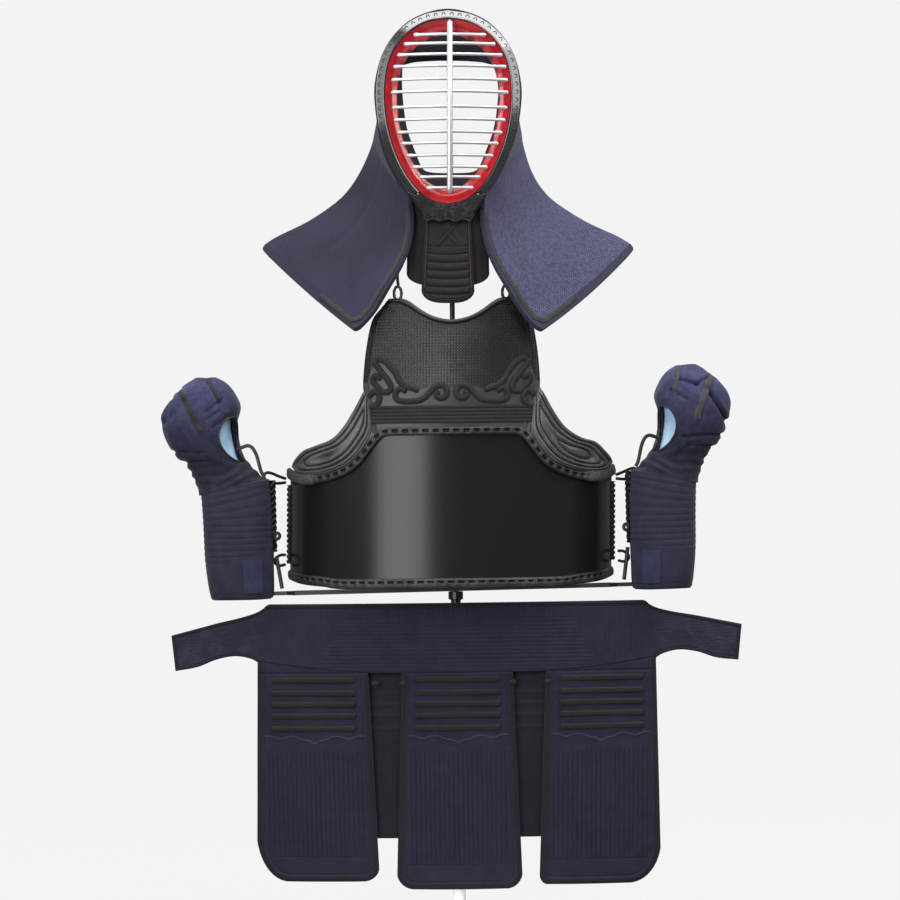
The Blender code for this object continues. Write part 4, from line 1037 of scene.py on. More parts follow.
def make_chest(finishes):
    """Chest plate of patterned leather, its bound edges, the ridged band and the scroll cords sewn on it."""
    neck = both_ways(CHEST_NECK, 261)
    sides = drawn(CHEST_SIDES, 200)
    v = np.linspace(0, 1, 211)[:, None]
    z = CHEST_BOTTOM + (neck[:, 1] - CHEST_BOTTOM) * v
    share = neck[:, 0] / neck[-1, 0]
    x = share * np.interp(z, sides[:, 0], sides[:, 1])
    from_neck = (1 - v) * (neck[:, 1] - CHEST_BOTTOM)
    from_side = (1 - np.abs(share)) * 0.115
    swell = 0.0028 * bump_at(from_neck - 0.0036, 0.0038) ** 0.7 + 0.0010 * bump_at(from_side - 0.0026, 0.0020)
    swell += 0.0008 * bump_at(from_side - 0.0090, 0.0016)
    swell -= 0.0007 * bump_at(from_side - 0.0060, 0.0010)
    chart = np.stack([x + 0 * z, z + 0 * x], axis=2)
    marks = {"ground": scroll_ground(x, z), "edge": step_up(0.0076 - from_neck, 0, 0.0008)}
    front, back = do_wall(x, z, CHEST_THICK + swell)[0], do_wall(x, z)[0]
    plate = wall("do_chest_leather", front, back, finishes["chest_leather"], uv=chart, marks=marks)
    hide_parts("do_chest")

    v = np.linspace(0, 1, 41)[:, None]
    x = np.linspace(-0.1115, 0.1115, 161) * np.ones_like(v)
    ridges = np.abs(np.sin(5 * pi * v)) ** 0.7
    lift = 0.0048 + 0.0011 * ridges * np.ones_like(x)
    z = 0.741 + 0.025 * v * np.ones_like(x)
    front, back = do_wall(x, z, lift)[0], do_wall(x, z, 0.0038)[0]
    band = wall("do_ridges", front, back, finishes["ridge_cloth"])
    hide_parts("do_ridge_band")

    scrolls = []
    section = crowned(0.0086, 0.0003, 0.0036, 2.4, 9)
    for sign in (-1, 1):
        for rows in SCROLLS.values():
            line = drawn(rows, 70)
            points, out = do_wall(sign * line[:, 0], line[:, 1], CHEST_THICK)
            along = path_length(points)
            rope = 1 + 0.05 * np.cos(2 * pi * along / 0.0035)
            size = rounding(from_ends(along), 0.004, 0.12) * rope
            scrolls.append(sweep_rings(points, out, section * size[:, None, None]))
    many("do_chest_scrolls", scrolls, finishes["scroll_cord"], 60)


def make_pads(finishes):
    """Shoulder pads: padded ribs that follow the pad's long curve and close round its lower end."""
    for side, sign in SIDES:
        table = drawn(np.hstack([PAD_OUTER[side], PAD_INNER]), 181)
        v = np.linspace(0, 1, 107)[:, None]
        under = 0.02 + 0.10 * step_up(0.742 - table[:, 3], 0, 0.012)
        v = v * (1 + under) - under
        x = sign * (table[:, 2] + (table[:, 0] - table[:, 2]) * v)
        z = table[:, 3] + (table[:, 1] - table[:, 3]) * v
        spread = np.linalg.norm(table[:, :2] - table[:, 2:], axis=1)
        along = path_length((table[:, :2] + table[:, 2:]) / 2)
        inward, outward = np.clip(v, 0, 1) * spread, (1 - v) * spread
        foot = (along[-1] - along) * np.ones_like(v)
        x = x - sign * 0.0040 * (1 - step_up(along, 0.0, 0.045))
        near = sum(np.maximum(side_way, 0.0004) ** -4.0 for side_way in (inward, outward, foot))
        rim = near**-0.25
        ribs = rim / PAD_RIB
        groove = (1 - np.abs(np.sin(pi * ribs)) ** 0.55) * step_up(rim, 0.001, 0.004)
        lift = 0.0042 + 0.0040 * (1 - groove) * np.clip(rim / 0.003, 0.1, 1) ** 0.5
        lift = lift + 0.0014 * np.clip(rim / 0.012, 0, 1)
        tucked = step_up(-v, 0.01, 0.04)
        lift = 0.0034 + (lift - 0.0034) * step_up(along, 0.0, 0.012)
        lift = lift + (0.0030 - lift) * tucked
        front, back = do_wall(x, z, lift)[0], do_wall(x, z, 0.0036 - 0.0030 * tucked)[0]
        name, finish = f"do_shoulder_ribs_{side}", finishes["pad_leather"]
        pad = wall(name, front, back, finish, marks={"groove": groove})
        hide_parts(f"do_shoulder_pad_{side}")


def make_do_sides(finishes):
    """Scalloped lacing down each side, the corner loops of twisted leather, and small eyelets beside them."""
    for side, sign in SIDES:
        z = np.linspace(0.541, 0.655, 420)
        x = np.full_like(z, sign * 0.2335)
        points, out = do_wall(x, z)
        bead = np.abs(np.sin(pi * z / 0.0075))[:, None] ** 0.7
        across = np.linspace(1, -1, 11)
        dome = (1 - np.abs(across) ** 2.2) ** 0.5
        bulge = 0.86 + 0.22 * bead
        lift = SEAM + 0.0046 * dome[None] * (0.45 + 0.55 * bead)
        top = np.stack([across[None] * 0.0058 * bulge, lift], axis=2)
        base = np.broadcast_to([(-0.0058, -0.0010), (0.0058, -0.0010)], (len(z), 2, 2))
        rings = sweep_rings(points, out, np.concatenate([top, base], axis=1))
        lacing = many(f"do_side_laces_{side}", [rings], finishes["dark_cord"], 60)
        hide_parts(f"do_side_lacing_{side}")

        at, _ = do_wall(np.array([sign * LOOP_X]), np.array([LOOP_Z]))
        angle = np.arange(72) * 2 * pi / 72
        ring = np.stack([0.0052 * np.cos(angle), 0 * angle, 0.0098 * np.sin(angle)], axis=1) + at[0] + [0, -0.001, 0]
        size = (1 + 0.10 * np.cos(9 * angle))[:, None, None]
        section = np.array([(0.0021 * cos(a), 0.0029 * sin(a)) for a in np.arange(10) * 2 * pi / 10])
        rings = loop_rings(ring, -forward(72), section[None] * size)
        loop = loop_piece(f"do_corner_loop_{side}", rings, finishes["dark_cord"], 70)
        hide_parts(f"do_loop_{side}")

        spot, out = do_wall(np.array([sign * 0.083]), np.array([0.9015]))
        out = out[0]
        side_way = unit(np.cross(out, [0.0, 0, 1.0]))
        angle = np.arange(24) * 2 * pi / 24
        ring = np.cos(angle)[:, None] * side_way + np.sin(angle)[:, None] * [0, 0, 1.0]
        ring = spot[0] + out * 0.0040 + 0.0026 * ring
        rings = loop_rings(ring, np.tile(out, (24, 1)), circle(0.0012, 8))
        loop_piece(f"do_eyelet_{side}", rings, finishes["dark_cord"], 70)


# ---------------- kote


def oval_rings(sections, count, angles):
    """Rings of an oval tube: x and y are half widths times signed cosine and sine to the power 0.85."""
    table = drawn(sections, count)
    height, low, high, depth = table.T
    middle, half = (low + high) / 2, (high - low) / 2
    c, s = np.cos(angles), np.sin(angles)
    x = middle[:, None] + half[:, None] * np.sign(c) * np.abs(c) ** 0.85
    y = depth[:, None] * np.sign(s) * np.abs(s) ** 0.85
    z = np.repeat(height[:, None], len(angles), axis=1)
    return np.stack([x, y, z], axis=2)


def seam_height(x):
    """The sloping seam between cuff and fist, higher on the cuff's inner side."""
    return CUFF_TOP + CUFF_TOP_SLANT * (0.564 - x / 0.101)


def kote_place(side, sign):
    """Puts kote points, given from the cuff's middle, on their side of the shelf."""

    def put(grid):
        wide = np.array(grid) * [KOTE_WIDE[side], 1, 1]
        return shelved((wide + [KOTE_X, 0, -KOTE_DROP]) * [sign, 1, 1] + [SHELF_X, 0, 0])

    return put


# Fist folds, seen from the front: side, x and z of each end, width, depth. Negative depth swells.
FOLDS = {
    "left": [
        (84, 298, 56, 246, 8.0, 3.4), (76, 285, 102, 258, 11, -3.2), (92, 280, 103, 250, 5.0, 5.0),
        (50, 204, 108, 207, 4.2, 5.6), (38, 192, 92, 188, 4.4, 5.2), (40, 306, 16, 268, 6.0, 2.8),
        (20, 278, 40, 262, 4.0, 2.6), (22, 262, 38, 252, 3.5, 2.4), (8, 256, 30, 240, 4.5, 3.4),
        (56, 300, 60, 282, 10, -2.0),
    ],
    "right": [
        (32, 291, 57, 284, 4.6, 5.2), (57, 284, 76, 294, 4.0, 4.2), (76, 272, 108, 222, 6.4, 8.5),
        (92, 292, 108, 258, 12, -3.6), (60, 262, 52, 232, 9.0, -2.6), (36, 209, 104, 211, 4.2, 5.6),
        (44, 197, 92, 193, 4.2, 4.6), (18, 276, 40, 262, 4.0, 2.8), (48, 312, 66, 306, 9, -1.5),
    ],
}
# Braids sewn over the fist, seen from the front: x and height of each point.
FIST_BRAIDS = {
    "left": [
        [(83, 296), (77, 288), (69, 276), (61, 262), (54, 248), (48, 235)],
        [(38, 307), (34, 300), (29, 291), (24, 283), (20.5, 277.5)],
    ],
    "right": [
        [(81, 299), (77, 290), (71, 277), (65, 263), (59, 248), (54, 233)],
        [(33, 308), (29, 300), (26, 290), (24, 280), (23, 270)],
    ],
}


def fold_line(x, z, ends, width, depth):
    """A groove of a given depth along a line between two ends, fading past them."""
    (ax, az), (bx, bz) = ends
    way = np.array([bx - ax, bz - az])
    length = np.linalg.norm(way)
    way = way / length
    along = (x - ax) * way[0] + (z - az) * way[1]
    off = np.abs((x - ax) * way[1] - (z - az) * way[0])
    beyond = np.clip(np.maximum(-along, along - length), 0, None)
    return depth * bump_at(np.sqrt(off**2 + (0.6 * beyond) ** 2), width)


def make_kote(finishes, side, sign):
    """One gauntlet: fist with its folds and braids, lining, palm, cuff with sewn ribs, patch and laces."""
    put = kote_place(side, sign)
    count = 160
    angles = np.arange(count) * 2 * pi / count + pi / count
    rings = oval_rings(FIST_SECTIONS, 121, angles)
    share = np.linspace(0, 1, 121)[:, None]
    start = seam_height(rings[0, :, 0]) + SEAM
    low = np.broadcast_to(start, rings.shape[:2])
    rings[..., 2] = np.maximum(rings[..., 2], low + 0.0005 + share * 0.02 - 0.0005 * (share < 0.001))
    rings[0, :, 2] = start
    out = grid_normals(rings, ring=True)
    if out[60, 0, 0] < 0:
        out = -out
    x, z = rings[..., 0], rings[..., 2]
    front = step_up(-out[..., 1], -0.3, 0.1)
    lift = 0.0009 * np.sin(x / 0.009 + 2.0 * np.sin(z / 0.021)) * np.sin(z / 0.013 + 1.1)
    lift += 0.0006 * np.sin(rings[..., 1] / 0.006 + z / 0.011)
    for ax, az, bx, bz, width, depth in FOLDS[side]:
        lift -= front * fold_line(x, z, ((ax * MM, az * MM), (bx * MM, bz * MM)), width * MM, depth * MM)
    crumple = step_up(0.212 - z, 0, 0.030)
    wrinkle = np.sin(x / 0.0066 + 3 * np.sin(z / 0.009)) * np.sin(z / 0.0054 + 2 * np.sin(x / 0.012))
    lift += 0.0019 * crumple * wrinkle
    for height, deep in ((0.167, 0.0016), (0.181, 0.0020)):
        lift -= deep * bump_at(z - height - 0.08 * (x - 0.02), 0.0026) * (1 - front)
    lift *= step_up(z - low, 0.001, 0.008)
    base = rings + out * lift[..., None]
    hole = palm_mask(rings)
    inner = rings - out * KOTE_WALL
    inner[0, :, 2] = start
    fist = open_shell(f"kote_fist_cloth_{side}", put(base), put(inner), hole, finishes["kote_cloth"])
    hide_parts(f"kote_fist_{side}")
    make_palm(finishes, side, put, rings, out, hole)
    make_fist_braids(finishes, side, put, base, out)
    make_cuff(finishes, side, put)
    make_kote_laces(finishes, side, put)


def palm_distance(points):
    """How far points of the fist lie from the palm opening's edge: 1 on the edge, less inside it."""
    start = np.array([0.052, 0, 0.221])
    turn = radians(25)
    aim = np.array([-cos(turn), -sin(turn), 0.0])
    across = np.array([sin(turn), -cos(turn), 0.0])
    off = points - start
    ahead = off @ aim
    side = off @ across
    high = off[..., 2]
    far = np.sqrt(((side - 0.24 * high) / 0.0285) ** 2 + (high / 0.0325) ** 2)
    return np.where(ahead > 0.012, far, 9.0)


def palm_mask(rings):
    """Which quads of the fist lie inside the palm opening."""
    far = palm_distance(rings)
    ring = np.hstack([far, far[:, :1]])
    middle = (ring[:-1, :-1] + ring[1:, :-1] + ring[1:, 1:] + ring[:-1, 1:]) / 4
    return middle < 1.0


def open_shell(name, outer, inner, hole, finish):
    """A capped wall on a ring grid with the quads of a mask left out.

    An edge that only one of the outer skin's faces has is joined to the same edge of the inner skin.
    """
    rows, columns = outer.shape[:2]
    size = rows * columns
    uv = grid_lengths(outer, True)
    index = np.arange(size).reshape(rows, columns)
    index = np.hstack([index, index[:, :1]])
    faces, corners = (part[~hole.ravel()] for part in quads_of(index, uv))
    groups = [(faces, corners), (faces[:, ::-1] + size, corners[:, ::-1])]
    top = index[-1]
    for line, hub in ((top, 2 * size), (top[::-1] + size, 2 * size + 1)):
        fan = np.stack([line[:-1], np.full(columns, hub), line[1:]], axis=1)
        groups.append((fan, np.broadcast_to(uv[-1, :1, None], (columns, 3, 2))))
    edges = np.stack([faces, np.roll(faces, -1, axis=1)], axis=2).reshape(-1, 2)
    lone = ~np.isin(edges @ [size, 1], edges @ [1, size]) & (edges.min(axis=1) < top[0])
    a, b = edges[lone].T
    place = corners.reshape(-1, 2)[lone][:, None]
    groups.append((np.stack([b, a, a + size, b + size], axis=1), np.broadcast_to(place, (len(a), 4, 2))))
    points = [outer.reshape(-1, 3), inner.reshape(-1, 3), outer[-1].mean(axis=0)[None], inner[-1].mean(axis=0)[None]]
    return build(name, np.vstack(points), groups, finish, 50)


def make_palm(finishes, side, put, rings, out, hole):
    """Pale leather lining behind the opening and the bound edge round it."""
    row, column = np.nonzero(hole)
    rows = slice(row.min() - 5, row.max() + 8)
    columns = slice(column.min() - 4, column.max() + 6)
    base, back = rings[rows, columns], out[rows, columns]
    share = np.linspace(0, 1, base.shape[0])[:, None]
    wave = 0.0010 * np.sin(share * 9 + np.linspace(0, 5, base.shape[1])[None])
    depth = (KOTE_WALL + 0.0012 + wave)[..., None]
    near = put(base - back * depth)
    far = put(base - back * (depth + 0.0016))
    palm = wall(f"kote_palm_leather_{side}", near, far, finishes["palm_leather"])
    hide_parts(f"kote_palm_{side}")
    sheet_size(near)

    places = smooth_hole(rings, np.linspace(0, 2 * pi, 161)[:-1])
    section = crowned(0.0036, -0.0030, 0.0010, 2.2, 8)
    bound = loop_rings(sample(rings, places), unit(sample(out, places)), section)
    loop_piece(f"kote_palm_binding_{side}", bound, finishes["kote_binding"], 60, put)


def smooth_hole(rings, angle):
    """Grid places (row, column) of the palm opening's edge, one for each angle round its middle."""
    far = palm_distance(rings)
    row, column = np.nonzero(far < 1)
    middle = np.array([row.mean(), column.mean()])
    reach = np.linspace(0, 60, 241)
    rows = middle[0] + np.cos(angle)[:, None] * reach
    columns = middle[1] + np.sin(angle)[:, None] * reach
    found = sample(far[..., None], np.stack([rows, columns], axis=2))[..., 0]
    first = np.argmax(found > 1.0, axis=1)
    pick = np.arange(len(angle))
    edge = np.stack([rows[pick, first], columns[pick, first]], axis=1)
    for _ in range(6):
        edge = (np.roll(edge, 1, axis=0) + 2 * edge + np.roll(edge, -1, axis=0)) / 4
    return edge


def sample(grid, places):
    """Grid values at fractional (row, column) places, mixed between the four nearest."""
    row = np.clip(places[..., 0], 0, grid.shape[0] - 1.001)
    column = np.clip(places[..., 1], 0, grid.shape[1] - 1.001)
    r, c = row.astype(int), column.astype(int)
    a, b = (row - r)[..., None], (column - c)[..., None]
    near = grid[r, c] * (1 - b) + grid[r, c + 1] * b
    far = grid[r + 1, c] * (1 - b) + grid[r + 1, c + 1] * b
    return near * (1 - a) + far * a


def sheet_size(grid):
    """Mean length along the rows and down the columns of a grid."""
    lengths = grid_lengths(grid)
    return float(lengths[..., 0].max()), float(lengths[..., 1].max())


def front_places(rings, line):
    """Grid places on the fist's front whose x and height come nearest the line's points."""
    half = rings[:, 80:158]
    found = []
    for x, z in line:
        miss = (half[..., 0] - x) ** 2 + (half[..., 2] - z) ** 2
        r, c = np.unravel_index(np.argmin(miss), miss.shape)
        found.append((r, c + 80))
    return np.array(found, float)


def make_fist_braids(finishes, side, put, base, out):
    """Two flat braids sewn over the fist's front, laid on its own points."""
    strips = []
    for number, rows in enumerate(FIST_BRAIDS[side]):
        line = drawn(rows, 24)
        places = front_places(base, line)
        places = smooth_line(places[::4].tolist() + [places[-1].tolist()], 60)
        spots, ways = sample(base, places), unit(sample(out, places))
        width = 0.0096 if number == 0 else 0.0076
        strips.append(put(braid_rings(spots, ways, width, -0.0006, 0.0017, 0.0042)))
    # Painted light: the right gauntlet's braids use a lighter copy of the braid finish, as if lit from the right.
    finish = finishes["braid" if side == "left" else "lit_pale_braid"]
    many(f"kote_fist_braids_{side}", strips, finish, 60)


def make_cuff(finishes, side, put):
    """Cuff: an oval tube left open down its inner side, with sewn ribs that slant with the seam above it."""
    turn = np.linspace(pi + SLIT_HALF_ANGLE, 3 * pi - SLIT_HALF_ANGLE, 181)
    rings = oval_rings(CUFF_SECTIONS, 201, turn)
    out = grid_normals(rings)
    if out[100, 90, 0] < 0:
        out = -out
    share = np.linspace(0, 1, 201)[:, None]
    top = seam_height(rings[-1, :, 0])
    low = CUFF_SECTIONS[0][0] * MM
    rings[..., 2] = low + (top - low) * share
    z = rings[..., 2]
    down = top - z
    level = CUFF_TOP - z
    rows_down = level + (top - CUFF_TOP) * np.clip(1 - level / 0.040, 0, 1)
    ribbed = step_up(0.106 - down, 0, 0.012) * step_up(down, -0.001, 0.001)
    lift = 0.0008 * (np.abs(np.sin(pi * rows_down / 0.0088)) ** 0.6 - 0.55) * ribbed
    lift += 0.0007 * bump_at(z - low - 0.0035, 0.0035) - 0.0005 * bump_at(z - low - 0.0085, 0.0010)
    around = np.linspace(0, 1, 181)
    lift += 0.0008 * bump_at(np.minimum(around, 1 - around) - 0.012, 0.012)
    lift += 0.0005 * np.sin(z / 0.017 + 9 * around) * np.sin(14 * around)
    outer, inner = rings + out * lift[..., None], rings - out * (CUFF_WALL - 0.0005)
    cuff = wall(f"kote_cuff_cloth_{side}", put(outer), put(inner), finishes["cuff_cloth"])
    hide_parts(f"kote_cuff_{side}")

    at = np.linspace(pi + radians(52), pi + radians(85), 13)
    patch = oval_rings(CUFF_SECTIONS, 121, at)[9:47]
    way = grid_normals(patch)
    if way[20, 6, 1] > 0:
        way = -way
    near = put(patch + way * 0.0006)
    far = put(patch + way * 0.0017)
    label = wall(f"kote_plain_patch_{side}", far, near, finishes["patch"])
    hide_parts(f"kote_label_{side}")


def make_kote_laces(finishes, side, put):
    """Zigzag lacing over the slit with its crossings, and a small knot where the free end starts."""
    strands = []
    crossings = 12
    for phase in (1, -1):
        steps = range(crossings + 1)
        line = smooth_line([(-0.0470, phase * 0.0100 * (-1) ** step, 0.060 + 0.0085 * step) for step in steps], 150)
        line[:, 0] -= 0.0016 * phase * np.cos(pi * np.linspace(0, crossings, 150))
        side_way = np.tile([0.0, -1.0, 0.2], (150, 1))
        strands.append(sweep_rings(put(line), unit(side_way), circle(0.0026, 8)))
    lacing = many(f"kote_laces_{side}", strands, finishes["dark_cord"], 60)
    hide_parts(f"kote_lacing_{side}")

    angle = np.arange(40) * 2 * pi / 40
    ring = np.stack([-0.0525 + 0.0036 * np.cos(angle), -0.0120 + 0 * angle, 0.0830 + 0.0042 * np.sin(angle)], axis=1)
    rings = loop_rings(put(ring), forward(40), circle(0.0024, 8))
    loop_piece(f"kote_knots_{side}", rings, finishes["dark_cord"], 60)


# ---------------- tare


def tare_y(x):
    """Front of the belt and panels at a distance x from the middle: it falls back as the square of x."""
    return TARE_FRONT + TARE_CURVE * (x / TARE_HALF) ** 2


def belt_bottom(x):
    """The belt's lower edge rises toward its ends."""
    return BELT_BOTTOM + 0.017 * np.clip((np.abs(x) - 0.115) / 0.165, 0, None) ** 1.6


def grooves(value, pitch, width):
    """A row of narrow sewn grooves, one at each pitch: 1 at a groove's middle."""
    return bump_at((value / pitch - np.round(value / pitch)) * pitch, width)


# Heights of the braid bars across each panel.
BAR_HEIGHTS = (0.3770, 0.3588, 0.3424, 0.3262, 0.3082)


def make_tare(finishes):
    """Waist armour: sewn belt, two straps, three large panels, their braid bars, and two panels behind."""
    share = np.linspace(-1, 1, 521)
    v = np.linspace(0, 1, 101)[:, None]
    half = 0.2735 + 0.0105 * v - 0.006 * np.clip(1 - v / 0.06, 0, 1) ** 2
    x = share * half
    z = BELT_TOP + (belt_bottom(x) - BELT_TOP) * v
    from_top = BELT_TOP - z
    middle = 0.150 + 0.055 * (from_top / 0.098)
    inside = step_up(middle - np.abs(x), -0.001, 0.001) * step_up(from_top, 0.020, 0.023)
    sewn = inside * grooves(from_top, 0.0057, 0.0011) + (1 - inside) * 0.8 * grooves(x - 0.02, 0.0072, 0.0010)
    seam = bump_at(middle - np.abs(x), 0.0012) * step_up(from_top, 0.018, 0.022)
    low = z - belt_bottom(x)
    lift = 0.0010 * bump_at(from_top - 0.003, 0.003) - 0.0006 * bump_at(from_top - 0.0068, 0.0009)
    lift -= 0.00060 * sewn * step_up(from_top, 0.007, 0.008) * step_up(low, 0.002, 0.004) + 0.0006 * seam
    lift -= 0.0012 * bump_at(low, 0.0022)
    lift += 0.0008 * np.sin(x / 0.031 + 3 * v) * np.sin(2.2 * v)
    grid = np.stack([x + TARE_X, tare_y(x) - lift, z], axis=2)
    back = np.stack([x + TARE_X, tare_y(x) + BELT_THICK, z], axis=2)
    marks = {"binding": step_up(0.0062 - from_top, 0, 0.0008), "seam": 0.8 * sewn + seam}
    belt = wall("tare_sewn_belt", grid, back, finishes["belt_cloth"], marks=marks)
    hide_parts("tare_belt")

    for side, sign in SIDES:
        make_strap(finishes, side, sign)
    for side, bottom, corners, curves in PANELS:
        make_panel(finishes, side, bottom, corners, curves)
    for side, sign in SIDES:
        corners = [sign * 0.104 - 0.058, sign * 0.104 + 0.058, sign * 0.100 - 0.055, sign * 0.100 + 0.055]
        grid, edge, x, z = panel(corners, INNER_BOTTOM, (0.012,) * 4, PANEL_THICK + 0.0008, 0, 121, 81)
        lift = 0.0008 * bump_at(edge - 0.0035, 0.0035) - 0.0005 * bump_at(edge - 0.0078, 0.001)
        lift -= 0.0005 * grooves(x, 0.0061, 0.0011) * step_up(edge, 0.010, 0.012) * step_up(0.290 - z, 0, 0.004)
        bars = sum(bump_at(z - height, 0.0040) for height in BAR_HEIGHTS) * step_up(edge, 0.010, 0.013)
        lift += 0.0008 * bars
        front = grid - along_y(lift)
        marks = {"binding": step_up(0.0074 - edge, 0, 0.0008), "seam": 0.5 * bars}
        name = f"tare_rear_panel_{side}"
        made = wall(name, front, grid + [0, INNER_THICK, 0], finishes["rear_shaded_cloth"], marks=marks)
        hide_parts(f"tare_inner_panel_{side}")


def make_strap(finishes, side, sign):
    """A belt strap that tapers and drops outward, bound along its edges, with faint scroll stitching."""
    table = drawn(STRAP_ROWS, 161)
    v = np.linspace(0, 1, 61)[:, None]
    first = 0.2720 + 0.0105 * v
    tip = table[-1, 0] - 0.0053 * v
    x = first + (table[:, 0] - table[0, 0]) * (tip - first) / (table[-1, 0] - table[0, 0])
    rise = sign * STRAP_TIP_LIFT * (x - first) / (table[-1, 0] - first)
    z = table[:, 1] + (table[:, 2] - table[:, 1]) * v + rise
    wide = (table[:, 1] - table[:, 2]) * np.ones_like(v)
    ends = tip - x
    edge = np.minimum(np.minimum(v, 1 - v) * wide, ends)
    lift = 0.0008 * bump_at(edge - 0.0022, 0.0024) - 0.0005 * bump_at(edge - 0.0050, 0.0009)
    scroll = 0.009 * np.sin((x - 0.30) / 0.0105) * np.exp(-(((x - 0.345) / 0.040) ** 2))
    middle = (table[:, 1] + table[:, 2]) / 2 - 0.003
    line = bump_at(z - rise - middle - scroll, 0.0016) + bump_at(z - rise - middle + 0.8 * scroll, 0.0014)
    lift += 0.00045 * line * step_up(edge, 0.008, 0.011)
    lift += 0.0010 * np.sin(x / 0.019 + 2.1 * v) * 0.6
    rib = grooves(z - rise, 0.0047, 0.0010) * step_up(edge, 0.006, 0.008)
    lift -= 0.00028 * rib
    grid = np.stack([sign * x + TARE_X, tare_y(x) + 0.001 - lift, z], axis=2)
    back = np.stack([sign * x + TARE_X, tare_y(x) + 0.008, z], axis=2)
    marks = {"binding": step_up(0.0058 - edge, 0, 0.0007) * step_up(ends, 0, 0.001), "seam": 0.5 * line}
    strap = wall(f"tare_belt_strap_{side}", grid, back, finishes["strap_cloth"], marks=marks)
    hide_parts(f"tare_strap_{side}")


def panel(corners, bottom, curves, back, bow, rows, columns):
    """A hanging panel's front grid, the distance of each point from its side or foot, and its x and z.

    Rows run from the belt down to a foot whose corners are quarter ellipses of the curves' widths and heights; the
    middle is bowed forward by bow times one less the square of the distance across, growing down the panel. The
    distance from an ellipse is taken as (1 - r) r / |gradient|, with r the point's place on it, 1 at its edge.
    """
    u = 0.5 - 0.5 * np.cos(np.linspace(0, pi, columns))
    v = np.linspace(0, 1, rows)[:, None]
    left = corners[0] + (corners[2] - corners[0]) * v
    right = corners[1] + (corners[3] - corners[1]) * v
    x = left + (right - left) * u
    wide = corners[3] - corners[2]
    low = bottom + np.zeros_like(u)
    for edge, (width, height) in ((u * wide, curves[:2]), ((1 - u) * wide, curves[2:])):
        inset = np.clip(width - edge, 0, width) / width
        low += height * (1 - np.sqrt(1 - 0.96 * inset**2))
    top = belt_bottom(x[0]) - SEAM
    z = top + (low - top) * v
    y = tare_y(x) + back - bow * (1 - (2 * u - 1) ** 2) * v
    distance = np.minimum(np.minimum(x - left, right - x), z - bottom)
    for side, (width, height) in ((x - left, curves[:2]), (right - x, curves[2:])):
        a, b = np.clip(width - side, 0, width), np.clip(bottom + height - z, 0, height)
        place = np.sqrt((a / width) ** 2 + (b / height) ** 2)
        slope = np.sqrt((a / width**2) ** 2 + (b / height**2) ** 2)
        near = (1 - place) * place / np.maximum(slope, 1e-6)
        distance = np.where((a > 0) & (b > 0), np.minimum(distance, near), distance)
    return np.stack([x + TARE_X, y, z], axis=2), np.clip(distance, 0, None), x - (left + right) / 2, z


# Scalloped line under the braid bars: share of the half width, drop below its ends in millimetres.
BRACKET = [(-1, 1), (-0.82, 1), (-0.7, 4.5), (-0.62, 4.5), (-0.5, 1.5), (-0.36, 1.5)]
BRACKET += [(-0.22, 6), (-0.1, 7.5), (0, 11.5)]
BRACKET += [(-share, drop) for share, drop in BRACKET[-2::-1]]


def make_panel(finishes, side, bottom, corners, curves):
    """A large panel: bound edge, scalloped line, sewn vertical ribs, and five woven braid bars across its top."""
    grid, edge, x, z = panel(corners, bottom, curves, 0, 0.004, 361, 241)
    half = (corners[1] - corners[0]) / 2
    share = np.clip(x / (half - 0.004), -1, 1)
    bracket = smooth_line(BRACKET, 200)
    line_at = 0.2985 - np.interp(share, bracket[:, 0], bracket[:, 1]) * MM
    line = bump_at(z - line_at, 0.0018) * step_up(edge, 0.010, 0.012)
    foot = bottom + 0.037
    ribbed = step_up(0.278 - z, 0, 0.006) * step_up(z - foot, 0, 0.002) * step_up(edge, 0.0135, 0.0165)
    rib = np.abs(np.sin(pi * x / 0.0067)) ** 0.7
    lift = 0.0011 * bump_at(edge - 0.0050, 0.0050) - 0.0007 * bump_at(edge - 0.0108, 0.0011)
    lift += 0.0009 * line + 0.00085 * (rib - 0.6) * ribbed
    lift -= 0.0005 * bump_at(z - foot + 0.0022, 0.0010) * step_up(edge, 0.012, 0.015)
    drape = 0.0016 * np.sin(x / 0.030 + 1.0 + 2 * (z - 0.2)) * np.clip((0.36 - z) / 0.25, 0, 1)
    lift += drape + 0.0007 * np.sin(z / 0.023 + x / 0.02)
    top = belt_bottom(x) - z
    lift -= 0.0012 * bump_at(top, 0.0024)
    front = grid - along_y(lift)
    back = grid + [0, PANEL_THICK - 0.0010, 0]
    marks = {"binding": step_up(0.0082 - edge, 0, 0.0012), "seam": 0 * line, "line": line, "rib": (1 - rib) * ribbed}
    made = wall(f"tare_big_panel_{side}", front, back, finishes["panel_cloth"], marks=marks)
    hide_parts(f"tare_panel_{side}")

    strips = []
    for height in BAR_HEIGHTS:
        along = np.linspace(corners[0] + 0.020, corners[1] - 0.019, 110)
        share = (along - corners[0]) / (corners[1] - corners[0])
        bow = 0.004 * (1 - (2 * share - 1) ** 2) * (BELT_BOTTOM - height) / 0.3
        spots = np.stack([along + TARE_X, tare_y(along) - bow - 0.0006, 0 * along + height], axis=1)
        strips.append(braid_rings(spots, forward(110), 0.0080, -0.0006, 0.0026, 0.0036))
    bars = many(f"tare_braid_bars_{side}", strips, finishes["bar_braid"], 60)
    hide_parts(f"tare_braids_{side}")


